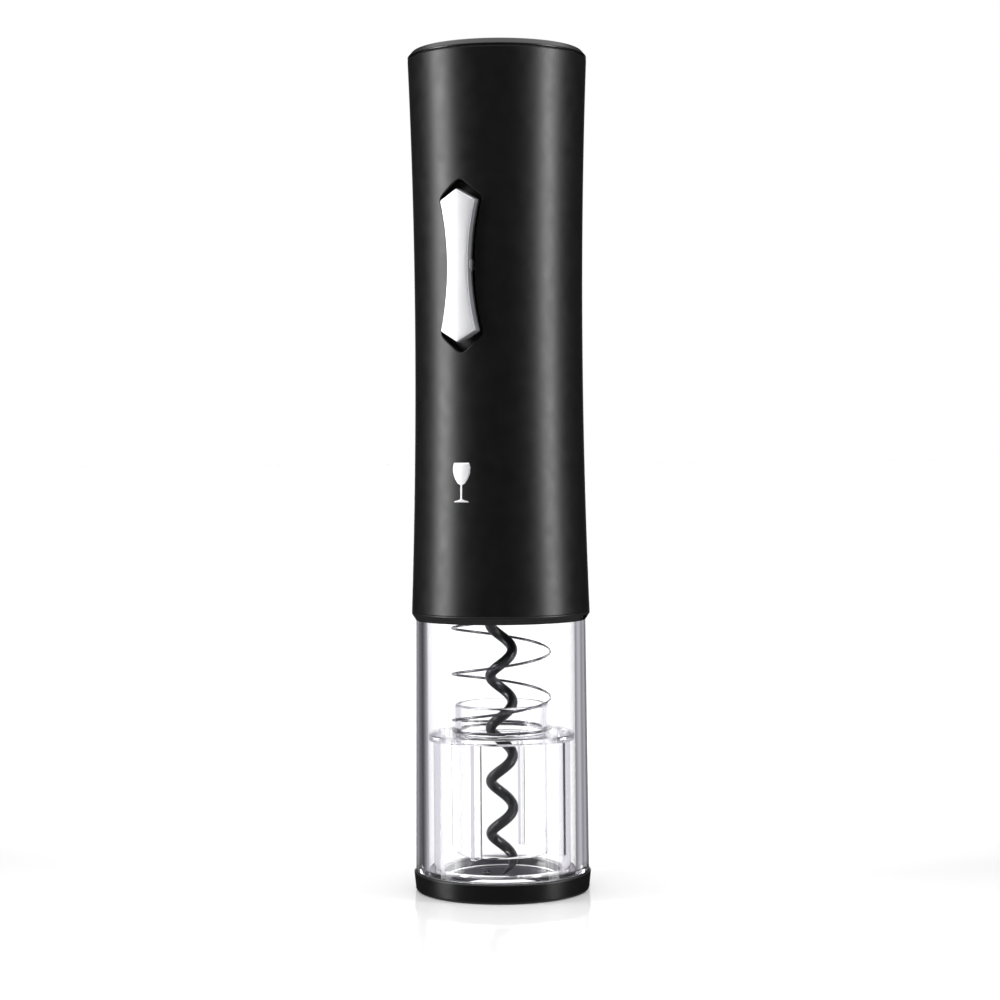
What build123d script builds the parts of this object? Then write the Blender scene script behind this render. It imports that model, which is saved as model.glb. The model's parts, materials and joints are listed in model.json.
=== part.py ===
from build123d import *
import math
import os

# An electric wine opener that stands upright on its foil cutter.
# Origin: centre of the base, on the surface it stands on. +Z up, the button faces -Y. Millimetres.

# ---- housing and cap
HEIGHT = 240.0
HOUSING_LOW = 79.8
HOUSING_TOP = 237.1
HOUSING_END_R = 25.5
WAIST_R = 23.96
WAIST_Z = 160.0
BORE_R = 21.9
SOCKET_R = 22.8
SOCKET_TOP = 89.0
LEDGE_R = 20.0
LEDGE_LOW = 94.0
CAP_LOW = 237.5
CAP_EDGE_Z = 239.5
CAP_EDGE_R = 24.1
CAP_RIM = 0.4
CAP_SKIRT_LOW = 229.9
CAP_SKIRT_R = 21.6
CAP_SKIRT_IN = 19.6
CAP_ROOF_Z = 237.0
CAP_BOSS_R = 4.0
CAP_BOSS_LOW = 234.2
CAP_PIVOT_R = 2.1
SEAL_R = 24.6

# ---- battery bay
CELL_R = 7.25
CELL_LENGTH = 50.5
CELL_NUB_R = 2.75
CELL_NUB = 1.0
CELL_LOW = 179.6
CELL_PITCH = 15.2
CELL_SHIFT_Y = 1.0
CELL_TUBE_R = 8.2
CELL_TUBE_BORE = 7.45
CARRIER_LOW = 176.5
CARRIER_FLOOR = 178.5
CARRIER_TOP = 226.0
CARRIER_R = 21.4
CARRIER_FRONT_Y = -14.8
CARRIER_LEGS = 3
CARRIER_LEG_FIRST = 30
CARRIER_LEG_ARC = 120
CARRIER_LEG = (1.5, 6.0)
CONTACT_BOARD_R = 19.0
CONTACT_BOARD_LOW = 174.9
PLATE_LOW = 231.5
PLATE_TOP = 233.2
PLATE_R = 19.2
PLATE_STUD_R = 2.05
PLATE_STUD_TOP = 236.5
PLATE_KEY_LOW = 224.0
PLATE_KEY_X = 17.4
PLATE_KEY = (1.6, 4.0)
CONTACT_PAD_LOW = 230.4
CONTACT_PAD_R = 2.5
CONTACT_STRIP = (21.2, 6.0, 0.5)
CONTACT_CONE_R = (4.0, 2.0)

# ---- rocker button, outlines measured from its centre
BUTTON_Z = 177.0
WINDOW_APEX = 24.35
WINDOW_CORNER = 18.95
WINDOW_HALF = 6.65
WINDOW_WAIST = 4.15
ROCKER_APEX = 21.25
ROCKER_CORNER = 18.1
ROCKER_HALF = 5.4
ROCKER_WAIST = 3.15
ROCKER_FACE_R = 26.4
ROCKER_BACK_Y = -22.5
ROCKER_PIVOT_Y = -18.2
ROCKER_EDGE = 0.35
ROCKER_STEM = (4.2, 5.9, 3.6)
ROCKER_BOSS_Y = -23.5
ROCKER_BOSS_R = 1.8
ROCKER_BOSS_LENGTH = 7.2
BUTTON_PIN_R = 0.9
BUTTON_PIN_LENGTH = 8.2
LUG_X = 3.35
LUG = (1.6, 3.4, 3.4)
POST_OFFSET = 14.0
POST_R = 1.2
POST_END_Y = -19.25
TRAY_IN_R = 19.8
TRAY_FLOOR_R = 20.8
TRAY_HALF = 9.5
TRAY_HALF_HEIGHT = 27.0
TRAY_POST_HOLE_R = 2.0
TRAY_STEM_HOLE = (5.0, 4.8)
STANDOFF_OFFSET = 20.5
STANDOFF_R = 1.5
STANDOFF_SINK = 0.4
BOARD_FRONT_Y = -16.2
BOARD_BACK_Y = -15.0
BOARD_HALF = 7.5
BOARD_HALF_HEIGHT = 23.0
BOARD_HOLE_R = 1.1
BOARD_SCREW_R = 0.8
BOARD_SCREW_LENGTH = 3.8
BOARD_SCREW_HEAD_R = 1.6
BOARD_SCREW_HEAD = 0.9
SWITCH_CASE = (6.0, 6.0, 1.5)
SWITCH_PLUNGER_R = 1.7
SWITCH_PLUNGER_TOP = 2.0

# ---- gears: two planetary stages of 5 to 1
MODULE = 0.6
PRESSURE = math.radians(25)
SUN_TEETH = 12
PLANET_TEETH = 18
RING_TEETH = 48
ADDENDUM = 0.48
DEDENDUM = 0.63
TOOTH = 0.85
CENTRES = MODULE * (SUN_TEETH + PLANET_TEETH) / 2
PLANETS = 3
CARRIER_PLATE_R = CENTRES + 3.2
GEAR_PIN_R = 1.5
GEAR_PIN_PROUD = 0.2
GEAR_PIN_FIT = 0.05
PRESS_FIT = 0.01

# ---- drive train levels, from the spring seat up to the motor
SEAT_Z = 96.0
FRAME_FLOOR_TOP = 98.5
FRAME_TOP = 148.0
FRAME_R = 21.6
FRAME_IN_R = 19.9
FRAME_RIBS = 4
FRAME_RIB_LOW = 126.0
FRAME_RIB = (6.5, 1.6)
FRAME_BOSS_R = 2.2
NOSE_LOW = 102.2
RING_LOW = 104.7
OUTPUT_PLATE = (105.2, 107.7)
STAGE_2_GEARS = (108.1, 113.6)
STAGE_1_PLATE = (114.1, 116.1)
STAGE_1_GEARS = (116.5, 121.5)
MOUNT_LOW = 122.0
MOTOR_LOW = 124.0
MOTOR_TOP = 156.0
MOTOR_R = 13.85
MOTOR_BOSS_R = 5.0
MOTOR_SHAFT_R = 1.15
MOTOR_SHAFT_TOP = 135.0
MOTOR_SHAFT_WELL = 136.0
MOTOR_ROUND = 1.2
MOTOR_SCREW_OFFSET = 8.5
MOTOR_SCREW_R = 1.3
MOTOR_SCREW_HEAD_R = 2.6
MOTOR_SCREW_LENGTH = 5.5
MOTOR_SCREW_HOLE = 4.0
END_BELL_R = 12.65
END_BELL_TOP = 158.2
END_BOSS_R = 4.0
END_BOSS_TOP = 160.0
TERMINAL_X = 8.0
TERMINAL = (0.6, 2.6, 4.5)
STACK_R = 17.0
EAR_OFFSET = 17.6
EAR_R = 2.0
STACK_SCREW_R = 1.0
STACK_HEAD_R = 1.8
STACK_HEAD = 1.4
STACK_RECESS_R = 1.9
OUTPUT_SHAFT_R = 4.0
SNOUT_R = 7.0
BUSH_R = 6.0
BUSH_BORE = 4.05
CLIP_Z = 94.9
CLIP_R = 6.2
CLIP_MOUTH = 4.6
CLIP_THICKNESS = 0.7
CLIP_GROOVE = 0.8
CLIP_GROOVE_R = 3.5
SHAFT_END = 86.5
SHAFT_FLAT = 3.2
SHAFT_END_GAP = 0.3
FLAT_TOP = 92.5

# ---- worm
WORM_R = 3.15
WORM_WIRE_R = 1.5
WORM_PITCH = 15.0
WORM_TIP_Z = 4.7
WORM_TIP_ANGLE = -62.8
WORM_COIL_TOP = 78.8
WORM_SHANK_R = 5.0
WORM_SHANK_TOP = 86.0
WORM_RUN_OUT = 1.6
HUB_R = 7.0
HUB_ROUND = 1.5
HUB_LOW = 79.6
HUB_TOP = 94.4

# ---- clear shell, bezel, guide and spring
SHELL_LOW = 5.75
SHELL_LOW_R = 24.85
SHELL_TOP = 77.5
SHELL_TOP_R = 24.3
SHELL_BORE = 21.2
SHELL_SPIGOT_R = 22.6
SHELL_SPIGOT_TOP = 88.0
SHELL_LIP_R = 16.5
SHELL_LIP_TOP = 6.5
SHELL_FOOT_R = 21.0
SHELL_FOOT_Z = 3.5
BEZEL_BORE = 22.75
BEZEL_RIM = 0.4
SLOTS = 2
SLOT_FIRST = 9
SLOT_WIDTH = 5.0
SLOT_HEIGHT = 1.2
SLOT_Z = 78.5
CATCH = (1.6, 4.4, 0.8)
CATCH_ROOT = 0.5
GUIDE_R = 19.65
GUIDE_FLANGE_R = 20.9
GUIDE_LOW = 6.9
GUIDE_SKIRT_IN = 17.4
GUIDE_ROOF = 43.6
GUIDE_SEAT = 45.3
GUIDE_TUBE_R = 13.5
GUIDE_TUBE_LOW = 11.0
GUIDE_BORE = 11.9
COLLAR_TOP = 53.4
COLLAR_ROUND = 0.7
GUIDE_WEBS = 4
WEB_WIDTH = 1.2
WEB_ROOT = 0.5
SPRING_R = 14.1
SPRING_WIRE_R = 0.36
SPRING_TURNS = 4

# ---- foil cutter, the base ring
RING_TOP = 5.7
RING_TOP_R = 25.4
RING_LOW_R = 24.9
RING_FOOT_R = 24.3
RING_SOCKET_R = 21.1
RING_FLOOR = 3.4
RING_EDGE = 0.4
MOUTH_R = 16.0
MOUTH_CHAMFER = 0.5
WHEELS = 4
WHEEL_FIRST = 45
WHEEL_OFFSET = 19.75
WHEEL_BEVEL = 0.3
WHEEL_R = 3.6
WHEEL_HALF = 0.45
WHEEL_Z = 1.9
WHEEL_PIN_R = 0.8
WHEEL_PIN_LOW = 0.6
POCKET_R = 4.0
POCKET_HALF = 0.6

# ---- cutting blocks, larger than what they cut
DEEP = 10.0
WIDE = 50.0
TALL = 60.0

BASE = (Align.CENTER, Align.CENTER, Align.MIN)


def rod(radius, low, high, mode=Mode.ADD):
    """A plain cylinder about the Z axis, between two heights, in the part being built."""
    with Locations((0, 0, low)):
        Cylinder(radius, high - low, align=BASE, mode=mode)


def front_plane(y):
    """The plane that faces the user at this depth, centred on the button."""
    return Plane(origin=(0, y, BUTTON_Z), x_dir=(1, 0, 0), z_dir=(0, -1, 0))


def hourglass(y, apex, corner, half, waist):
    """The button's outline: two pointed ends joined by two hollow sides."""
    with BuildSketch(front_plane(y)) as outline:
        with BuildLine():
            Polyline((-half, corner), (0, apex), (half, corner))
            ThreePointArc((half, corner), (waist, 0), (half, -corner))
            Polyline((half, -corner), (0, -apex), (-half, -corner))
            ThreePointArc((-half, -corner), (-waist, 0), (-half, corner))
        make_face()
    return outline.sketch


def on_circle(radius, angle):
    """The point of a circle about the origin at an angle in radians."""
    return (radius * math.cos(angle), radius * math.sin(angle))


def involute(angle):
    return math.tan(angle) - angle


def gear_face(z, teeth, addendum=ADDENDUM, dedendum=DEDENDUM, thickness=TOOTH, phase=0.0):
    """An involute gear's face at height z. A tooth is centred on the phase angle."""
    pitch_r = MODULE * teeth / 2
    base_r = pitch_r * math.cos(PRESSURE)
    tip_r = pitch_r + addendum
    root_r = pitch_r - dedendum
    foot_r = max(base_r, root_r)
    middle_r = (foot_r + tip_r) / 2
    step = 2 * math.pi / teeth

    def half_angle(radius):
        pressure = math.acos(base_r / radius)
        return thickness / (2 * pitch_r) + involute(PRESSURE) - involute(pressure)

    with BuildSketch(Plane.XY.offset(z)) as gear:
        with BuildLine():
            for tooth in range(teeth):
                centre = phase + tooth * step
                rising = [on_circle(r, centre - half_angle(r)) for r in (foot_r, middle_r, tip_r)]
                falling = [on_circle(r, centre + half_angle(r)) for r in (tip_r, middle_r, foot_r)]
                gap_start = centre + half_angle(foot_r)
                gap_end = centre + step - half_angle(foot_r)
                ThreePointArc(*rising)
                ThreePointArc(rising[2], on_circle(tip_r, centre), falling[0])
                ThreePointArc(*falling)
                root_start = on_circle(root_r, gap_start)
                root_end = on_circle(root_r, gap_end)
                if foot_r > root_r:
                    Line(falling[2], root_start)
                    Line(root_end, on_circle(foot_r, gap_end))
                ThreePointArc(root_start, on_circle(root_r, centre + step / 2), root_end)
        make_face()
    return gear.sketch


def save(piece, name):
    """Label a finished piece and write it as its own STEP file."""
    piece.part.label = name
    export_step(piece.part, f"parts/{name}.step")


os.makedirs("parts", exist_ok=True)

# ================================================================ cap
with BuildPart() as top_cap:
    with BuildSketch(Plane.XZ):
        with BuildLine():
            TangentArc((0, HEIGHT), (CAP_EDGE_R, CAP_EDGE_Z), tangent=(1, 0))
            Polyline(
                (CAP_EDGE_R, CAP_EDGE_Z),
                (HOUSING_END_R, CAP_LOW + CAP_RIM),
                (HOUSING_END_R, CAP_LOW),
                (CAP_SKIRT_R, CAP_LOW),
                (CAP_SKIRT_R, CAP_SKIRT_LOW),
                (CAP_SKIRT_IN, CAP_SKIRT_LOW),
                (CAP_SKIRT_IN, CAP_ROOF_Z),
                (CAP_BOSS_R, CAP_ROOF_Z),
                (CAP_BOSS_R, CAP_BOSS_LOW),
                (CAP_PIVOT_R, CAP_BOSS_LOW),
                (CAP_PIVOT_R, CAP_ROOF_Z),
                (0, CAP_ROOF_Z),
                (0, HEIGHT),
            )
        make_face()
    revolve(axis=Axis.Z)
save(top_cap, "top_cap")

with BuildPart() as cap_seal:
    rod(SEAL_R, HOUSING_TOP, CAP_LOW)
    rod(BORE_R, HOUSING_TOP, CAP_LOW, mode=Mode.SUBTRACT)
save(cap_seal, "cap_seal")

with BuildPart() as cap_contact_plate:
    rod(PLATE_R, PLATE_LOW, PLATE_TOP)
    rod(PLATE_STUD_R, PLATE_TOP, PLATE_STUD_TOP)
    with Locations(*[(x, CELL_SHIFT_Y, PLATE_KEY_LOW) for x in (-PLATE_KEY_X, PLATE_KEY_X)]):
        Box(*PLATE_KEY, PLATE_LOW - PLATE_KEY_LOW, align=BASE)
save(cap_contact_plate, "cap_contact_plate")

CELL_ROWS = (CELL_SHIFT_Y - CELL_PITCH / 2, CELL_SHIFT_Y + CELL_PITCH / 2)
CELL_COLUMNS = (-CELL_PITCH / 2, CELL_PITCH / 2)
CELL_PLACES = [(x, y) for y in CELL_ROWS for x in CELL_COLUMNS]

with BuildPart() as cap_contacts:
    with Locations(*[(0, y, PLATE_LOW) for y in CELL_ROWS]):
        Box(*CONTACT_STRIP, align=(Align.CENTER, Align.CENTER, Align.MAX))
    with Locations(*[(x, y, CONTACT_PAD_LOW) for x, y in CELL_PLACES]):
        Cylinder(CONTACT_PAD_R, PLATE_LOW - CONTACT_PAD_LOW, align=BASE)
save(cap_contacts, "cap_contacts")

# ================================================================ battery bay
with BuildPart() as battery_carrier:
    rod(CARRIER_R, CARRIER_LOW, CARRIER_FLOOR)
    with Locations((0, CARRIER_FRONT_Y, CARRIER_LOW)):
        Box(WIDE, DEEP, DEEP, align=(Align.CENTER, Align.MAX, Align.MIN), mode=Mode.SUBTRACT)
    with Locations(*[(x, y, CARRIER_FLOOR) for x, y in CELL_PLACES]):
        Cylinder(CELL_TUBE_R, CARRIER_TOP - CARRIER_FLOOR, align=BASE)
    with Locations(*[(x, y, CARRIER_FLOOR) for x, y in CELL_PLACES]):
        Cylinder(CELL_TUBE_BORE, CARRIER_TOP - CARRIER_FLOOR, align=BASE, mode=Mode.SUBTRACT)
    with Locations((0, 0, FRAME_TOP)):
        with PolarLocations(
            CARRIER_R - CARRIER_LEG[0],
            CARRIER_LEGS,
            start_angle=CARRIER_LEG_FIRST,
            angular_range=CARRIER_LEG_ARC,
            endpoint=True,
        ):
            Box(*CARRIER_LEG, CARRIER_LOW - FRAME_TOP, align=(Align.MIN, Align.CENTER, Align.MIN))
save(battery_carrier, "battery_carrier")

with BuildPart() as aa_cells:
    for index, (x, y) in enumerate(CELL_PLACES):
        upright = index in (0, 3)
        can_low = CELL_LOW if upright else CELL_LOW + CELL_NUB
        nub_low = CELL_LOW + CELL_LENGTH - CELL_NUB if upright else CELL_LOW
        with Locations((x, y, can_low)):
            Cylinder(CELL_R, CELL_LENGTH - CELL_NUB, align=BASE)
        with Locations((x, y, nub_low)):
            Cylinder(CELL_NUB_R, CELL_NUB, align=BASE)
save(aa_cells, "aa_cells")

with BuildPart() as battery_contacts:
    with Locations(*[(x, y, CARRIER_FLOOR) for x, y in CELL_PLACES]):
        Cone(*CONTACT_CONE_R, CELL_LOW - CARRIER_FLOOR, align=BASE)
save(battery_contacts, "battery_contacts")

with BuildPart() as contact_board:
    rod(CONTACT_BOARD_R, CONTACT_BOARD_LOW, CARRIER_LOW)
    with Locations((0, CARRIER_FRONT_Y, CONTACT_BOARD_LOW)):
        Box(WIDE, DEEP, DEEP, align=(Align.CENTER, Align.MAX, Align.MIN), mode=Mode.SUBTRACT)
save(contact_board, "contact_board")

# ================================================================ housing and button
with BuildPart() as housing_sleeve:
    with BuildSketch(Plane.XZ):
        with BuildLine():
            TangentArc((WAIST_R, WAIST_Z), (HOUSING_END_R, HOUSING_TOP), tangent=(0, 1))
            TangentArc((WAIST_R, WAIST_Z), (HOUSING_END_R, HOUSING_LOW), tangent=(0, -1))
            Polyline(
                (HOUSING_END_R, HOUSING_LOW),
                (SOCKET_R, HOUSING_LOW),
                (SOCKET_R, SOCKET_TOP),
                (BORE_R, SOCKET_TOP),
                (BORE_R, LEDGE_LOW),
                (LEDGE_R, LEDGE_LOW),
                (LEDGE_R, SEAT_Z),
                (BORE_R, SEAT_Z),
                (BORE_R, HOUSING_TOP),
                (HOUSING_END_R, HOUSING_TOP),
            )
        make_face()
    revolve(axis=Axis.Z)
    window = hourglass(-TRAY_IN_R, WINDOW_APEX, WINDOW_CORNER, WINDOW_HALF, WINDOW_WAIST)
    extrude(window, amount=DEEP, mode=Mode.SUBTRACT)
save(housing_sleeve, "housing_sleeve")

with BuildPart() as button_tray:
    rod(BORE_R, BUTTON_Z - TRAY_HALF_HEIGHT, BUTTON_Z + TRAY_HALF_HEIGHT)
    rod(TRAY_IN_R, BUTTON_Z - TRAY_HALF_HEIGHT, BUTTON_Z + TRAY_HALF_HEIGHT, mode=Mode.SUBTRACT)
    with Locations((0, -TRAY_IN_R, BUTTON_Z)):
        Box(2 * TRAY_HALF, DEEP, 2 * TRAY_HALF_HEIGHT, mode=Mode.INTERSECT)
    pocket = extrude(
        hourglass(BOARD_BACK_Y, WINDOW_APEX, WINDOW_CORNER, WINDOW_HALF, WINDOW_WAIST),
        amount=DEEP,
        mode=Mode.PRIVATE,
    )
    pocket_core = Pos(0, 0, BUTTON_Z) * Cylinder(TRAY_FLOOR_R, TALL, mode=Mode.PRIVATE)
    add(pocket - pocket_core, mode=Mode.SUBTRACT)
    with Locations((-LUG_X, ROCKER_PIVOT_Y, BUTTON_Z), (LUG_X, ROCKER_PIVOT_Y, BUTTON_Z)):
        Box(*LUG)
    with Locations(front_plane(BOARD_FRONT_Y)):
        with Locations((0, STANDOFF_OFFSET), (0, -STANDOFF_OFFSET)):
            Cylinder(STANDOFF_R, TRAY_IN_R + STANDOFF_SINK + BOARD_FRONT_Y, align=BASE)
            Cylinder(
                BOARD_SCREW_R,
                TRAY_IN_R - STANDOFF_SINK + BOARD_FRONT_Y,
                align=BASE,
                mode=Mode.SUBTRACT,
            )
        with Locations((0, POST_OFFSET), (0, -POST_OFFSET)):
            Cylinder(TRAY_POST_HOLE_R, DEEP, align=BASE, mode=Mode.SUBTRACT)
        Box(*TRAY_STEM_HOLE, DEEP, align=BASE, mode=Mode.SUBTRACT)
    with Locations(Location((0, ROCKER_PIVOT_Y, BUTTON_Z), (0, 90, 0))):
        Cylinder(BUTTON_PIN_R + PRESS_FIT, DEEP, mode=Mode.SUBTRACT)
save(button_tray, "button_tray")

with BuildPart() as rocker_button:
    extrude(hourglass(ROCKER_BACK_Y, ROCKER_APEX, ROCKER_CORNER, ROCKER_HALF, ROCKER_WAIST), amount=DEEP)
    with Locations((0, 0, BUTTON_Z)):
        Cylinder(ROCKER_FACE_R, TALL, mode=Mode.INTERSECT)
    front_edges = rocker_button.faces().sort_by(Axis.Y)[0].edges()
    chamfer(front_edges, ROCKER_EDGE)
    with Locations(front_plane(POST_END_Y)):
        with Locations((0, POST_OFFSET), (0, -POST_OFFSET)):
            Cylinder(POST_R, POST_END_Y - ROCKER_BACK_Y, align=BASE)
    with Locations((0, ROCKER_BACK_Y, BUTTON_Z)):
        Box(*ROCKER_STEM, align=(Align.CENTER, Align.MIN, Align.CENTER))
    with Locations(Location((0, ROCKER_BOSS_Y, BUTTON_Z), (0, 90, 0))):
        Cylinder(ROCKER_BOSS_R, ROCKER_BOSS_LENGTH)
    with Locations(Location((0, ROCKER_PIVOT_Y, BUTTON_Z), (0, 90, 0))):
        Cylinder(BUTTON_PIN_R + GEAR_PIN_FIT, DEEP, mode=Mode.SUBTRACT)
save(rocker_button, "rocker_button")

with BuildPart() as rocker_pin:
    with Locations(Location((0, ROCKER_PIVOT_Y, BUTTON_Z), (0, 90, 0))):
        Cylinder(BUTTON_PIN_R, BUTTON_PIN_LENGTH)
save(rocker_pin, "rocker_pin")

with BuildPart() as switch_board:
    with Locations((0, BOARD_BACK_Y, BUTTON_Z)):
        Box(
            2 * BOARD_HALF,
            BOARD_BACK_Y - BOARD_FRONT_Y,
            2 * BOARD_HALF_HEIGHT,
            align=(Align.CENTER, Align.MAX, Align.CENTER),
        )
    with Locations(front_plane(BOARD_BACK_Y)):
        with Locations((0, STANDOFF_OFFSET), (0, -STANDOFF_OFFSET)):
            Cylinder(BOARD_HOLE_R, DEEP, mode=Mode.SUBTRACT)
save(switch_board, "switch_board")

with BuildPart() as tact_switches:
    with Locations(front_plane(BOARD_FRONT_Y)):
        with Locations((0, POST_OFFSET), (0, -POST_OFFSET)):
            Box(*SWITCH_CASE, align=BASE)
            Cylinder(SWITCH_PLUNGER_R, SWITCH_PLUNGER_TOP, align=BASE)
save(tact_switches, "tact_switches")

with BuildPart() as board_screws:
    with Locations(front_plane(BOARD_BACK_Y)):
        with Locations((0, STANDOFF_OFFSET), (0, -STANDOFF_OFFSET)):
            Cylinder(BOARD_SCREW_R - PRESS_FIT, BOARD_SCREW_LENGTH, align=BASE)
            Cylinder(
                BOARD_SCREW_HEAD_R,
                BOARD_SCREW_HEAD,
                align=(Align.CENTER, Align.CENTER, Align.MAX),
            )
save(board_screws, "board_screws")

# ================================================================ motor
with BuildPart() as motor_can:
    rod(MOTOR_R, MOTOR_LOW, MOTOR_TOP)
    rod(MOTOR_BOSS_R, MOUNT_LOW, MOTOR_LOW)
    fillet(motor_can.edges().group_by(Axis.Z)[-1], MOTOR_ROUND)
    rod(MOTOR_SHAFT_R + GEAR_PIN_FIT, MOUNT_LOW, MOTOR_SHAFT_WELL, mode=Mode.SUBTRACT)
    with Locations(*[(x, 0, MOTOR_LOW) for x in (-MOTOR_SCREW_OFFSET, MOTOR_SCREW_OFFSET)]):
        Cylinder(MOTOR_SCREW_R, MOTOR_SCREW_HOLE, align=BASE, mode=Mode.SUBTRACT)
save(motor_can, "motor_can")

with BuildPart() as motor_end_bell:
    rod(END_BELL_R, MOTOR_TOP, END_BELL_TOP)
    rod(END_BOSS_R, END_BELL_TOP, END_BOSS_TOP)
save(motor_end_bell, "motor_end_bell")

with BuildPart() as motor_terminals:
    with Locations((-TERMINAL_X, 0, END_BELL_TOP), (TERMINAL_X, 0, END_BELL_TOP)):
        Box(*TERMINAL, align=BASE)
save(motor_terminals, "motor_terminals")

with BuildPart() as motor_shaft:
    rod(MOTOR_SHAFT_R, STAGE_1_GEARS[0], MOTOR_SHAFT_TOP)
save(motor_shaft, "motor_shaft")

with BuildPart() as motor_pinion:
    extrude(gear_face(STAGE_1_GEARS[0], SUN_TEETH), amount=STAGE_1_GEARS[1] - STAGE_1_GEARS[0])
    rod(MOTOR_SHAFT_R + PRESS_FIT, STAGE_1_GEARS[0], STAGE_1_GEARS[1], mode=Mode.SUBTRACT)
save(motor_pinion, "motor_pinion")


def stack_plate(low, high):
    """A round gearbox plate with three ears, and the holes of the long screws."""
    rod(STACK_R, low, high)
    with Locations((0, 0, low)):
        with PolarLocations(EAR_OFFSET, PLANETS, start_angle=90):
            Cylinder(EAR_R, high - low, align=BASE)
            Cylinder(STACK_SCREW_R + PRESS_FIT, high - low, align=BASE, mode=Mode.SUBTRACT)


with BuildPart() as motor_mount_plate:
    stack_plate(MOUNT_LOW, MOTOR_LOW)
    rod(MOTOR_BOSS_R + GEAR_PIN_FIT, MOUNT_LOW, MOTOR_LOW, mode=Mode.SUBTRACT)
    with Locations(*[(x, 0, MOUNT_LOW) for x in (-MOTOR_SCREW_OFFSET, MOTOR_SCREW_OFFSET)]):
        Cone(MOTOR_SCREW_HEAD_R, MOTOR_SCREW_R, MOTOR_SCREW_R, align=BASE, mode=Mode.SUBTRACT)
        Cylinder(MOTOR_SCREW_R, MOTOR_LOW - MOUNT_LOW, align=BASE, mode=Mode.SUBTRACT)
save(motor_mount_plate, "motor_mount_plate")

with BuildPart() as motor_screws:
    with Locations(*[(x, 0, MOUNT_LOW) for x in (-MOTOR_SCREW_OFFSET, MOTOR_SCREW_OFFSET)]):
        Cone(MOTOR_SCREW_HEAD_R - PRESS_FIT, MOTOR_SCREW_R - PRESS_FIT, MOTOR_SCREW_R, align=BASE)
        Cylinder(MOTOR_SCREW_R - PRESS_FIT, MOTOR_SCREW_LENGTH, align=BASE)
save(motor_screws, "motor_screws")

# ================================================================ gearbox
with BuildPart() as ring_gear:
    stack_plate(RING_LOW, MOUNT_LOW)
    tooth_spaces = gear_face(
        RING_LOW,
        RING_TEETH,
        addendum=DEDENDUM,
        dedendum=ADDENDUM,
        thickness=math.pi * MODULE - TOOTH,
        phase=math.pi / RING_TEETH,
    )
    extrude(tooth_spaces, amount=MOUNT_LOW - RING_LOW, mode=Mode.SUBTRACT)
save(ring_gear, "ring_gear")


def planet_turn(index):
    """The angle, in degrees, at which this planet stands about the gearbox axis."""
    return 360 / PLANETS * index


def make_planet(levels, index):
    """One planet of a stage, meshed with its sun and with the ring, and bored for its pin."""
    low, high = levels
    with BuildPart() as planet:
        face = gear_face(low, PLANET_TEETH, phase=math.pi / PLANET_TEETH)
        placed = Rot(0, 0, planet_turn(index)) * Pos(CENTRES, 0, 0) * face
        extrude(placed, amount=high - low)
        with Locations((0, 0, low)):
            with PolarLocations(CENTRES, 1, start_angle=planet_turn(index)):
                Cylinder(GEAR_PIN_R + GEAR_PIN_FIT, high - low, align=BASE, mode=Mode.SUBTRACT)
    return planet


for index in range(PLANETS):
    save(make_planet(STAGE_1_GEARS, index), f"stage_1_planet_{index + 1}")
    save(make_planet(STAGE_2_GEARS, index), f"stage_2_planet_{index + 1}")


def make_pins(low, high):
    """The three steel pins that a stage's planets turn on."""
    with BuildPart() as pins:
        with Locations((0, 0, low)):
            with PolarLocations(CENTRES, PLANETS):
                Cylinder(GEAR_PIN_R, high - low, align=BASE)
    return pins


save(make_pins(STAGE_1_PLATE[0], STAGE_1_GEARS[1] + GEAR_PIN_PROUD), "stage_1_pins")
save(make_pins(OUTPUT_PLATE[0], STAGE_2_GEARS[1] + GEAR_PIN_PROUD), "stage_2_pins")


def pin_holes(low, high):
    """The press-fit holes of a carrier's planet pins."""
    with Locations((0, 0, low)):
        with PolarLocations(CENTRES, PLANETS):
            Cylinder(GEAR_PIN_R + PRESS_FIT, high - low, align=BASE, mode=Mode.SUBTRACT)


with BuildPart() as stage_1_carrier:
    rod(CARRIER_PLATE_R, *STAGE_1_PLATE)
    extrude(gear_face(STAGE_2_GEARS[0], SUN_TEETH), amount=STAGE_1_PLATE[0] - STAGE_2_GEARS[0])
    pin_holes(*STAGE_1_PLATE)
save(stage_1_carrier, "stage_1_carrier")

with BuildPart() as output_carrier:
    rod(CARRIER_PLATE_R, *OUTPUT_PLATE)
    rod(OUTPUT_SHAFT_R, SHAFT_END, OUTPUT_PLATE[0])
    rod(OUTPUT_SHAFT_R, CLIP_Z, CLIP_Z + CLIP_GROOVE, mode=Mode.SUBTRACT)
    rod(CLIP_GROOVE_R, CLIP_Z, CLIP_Z + CLIP_GROOVE)
    with Locations((0, SHAFT_FLAT, SHAFT_END)):
        Box(
            DEEP,
            DEEP,
            FLAT_TOP - SHAFT_END,
            align=(Align.CENTER, Align.MIN, Align.MIN),
            mode=Mode.SUBTRACT,
        )
    pin_holes(*OUTPUT_PLATE)
save(output_carrier, "output_carrier")

with BuildPart() as gearbox_nose:
    stack_plate(NOSE_LOW, RING_LOW)
    rod(SNOUT_R, SEAT_Z, NOSE_LOW)
    rod(BUSH_R + PRESS_FIT, SEAT_Z, RING_LOW, mode=Mode.SUBTRACT)
save(gearbox_nose, "gearbox_nose")

with BuildPart() as output_bush:
    rod(BUSH_R, SEAT_Z, RING_LOW)
    rod(BUSH_BORE, SEAT_Z, RING_LOW, mode=Mode.SUBTRACT)
save(output_bush, "output_bush")

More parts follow.
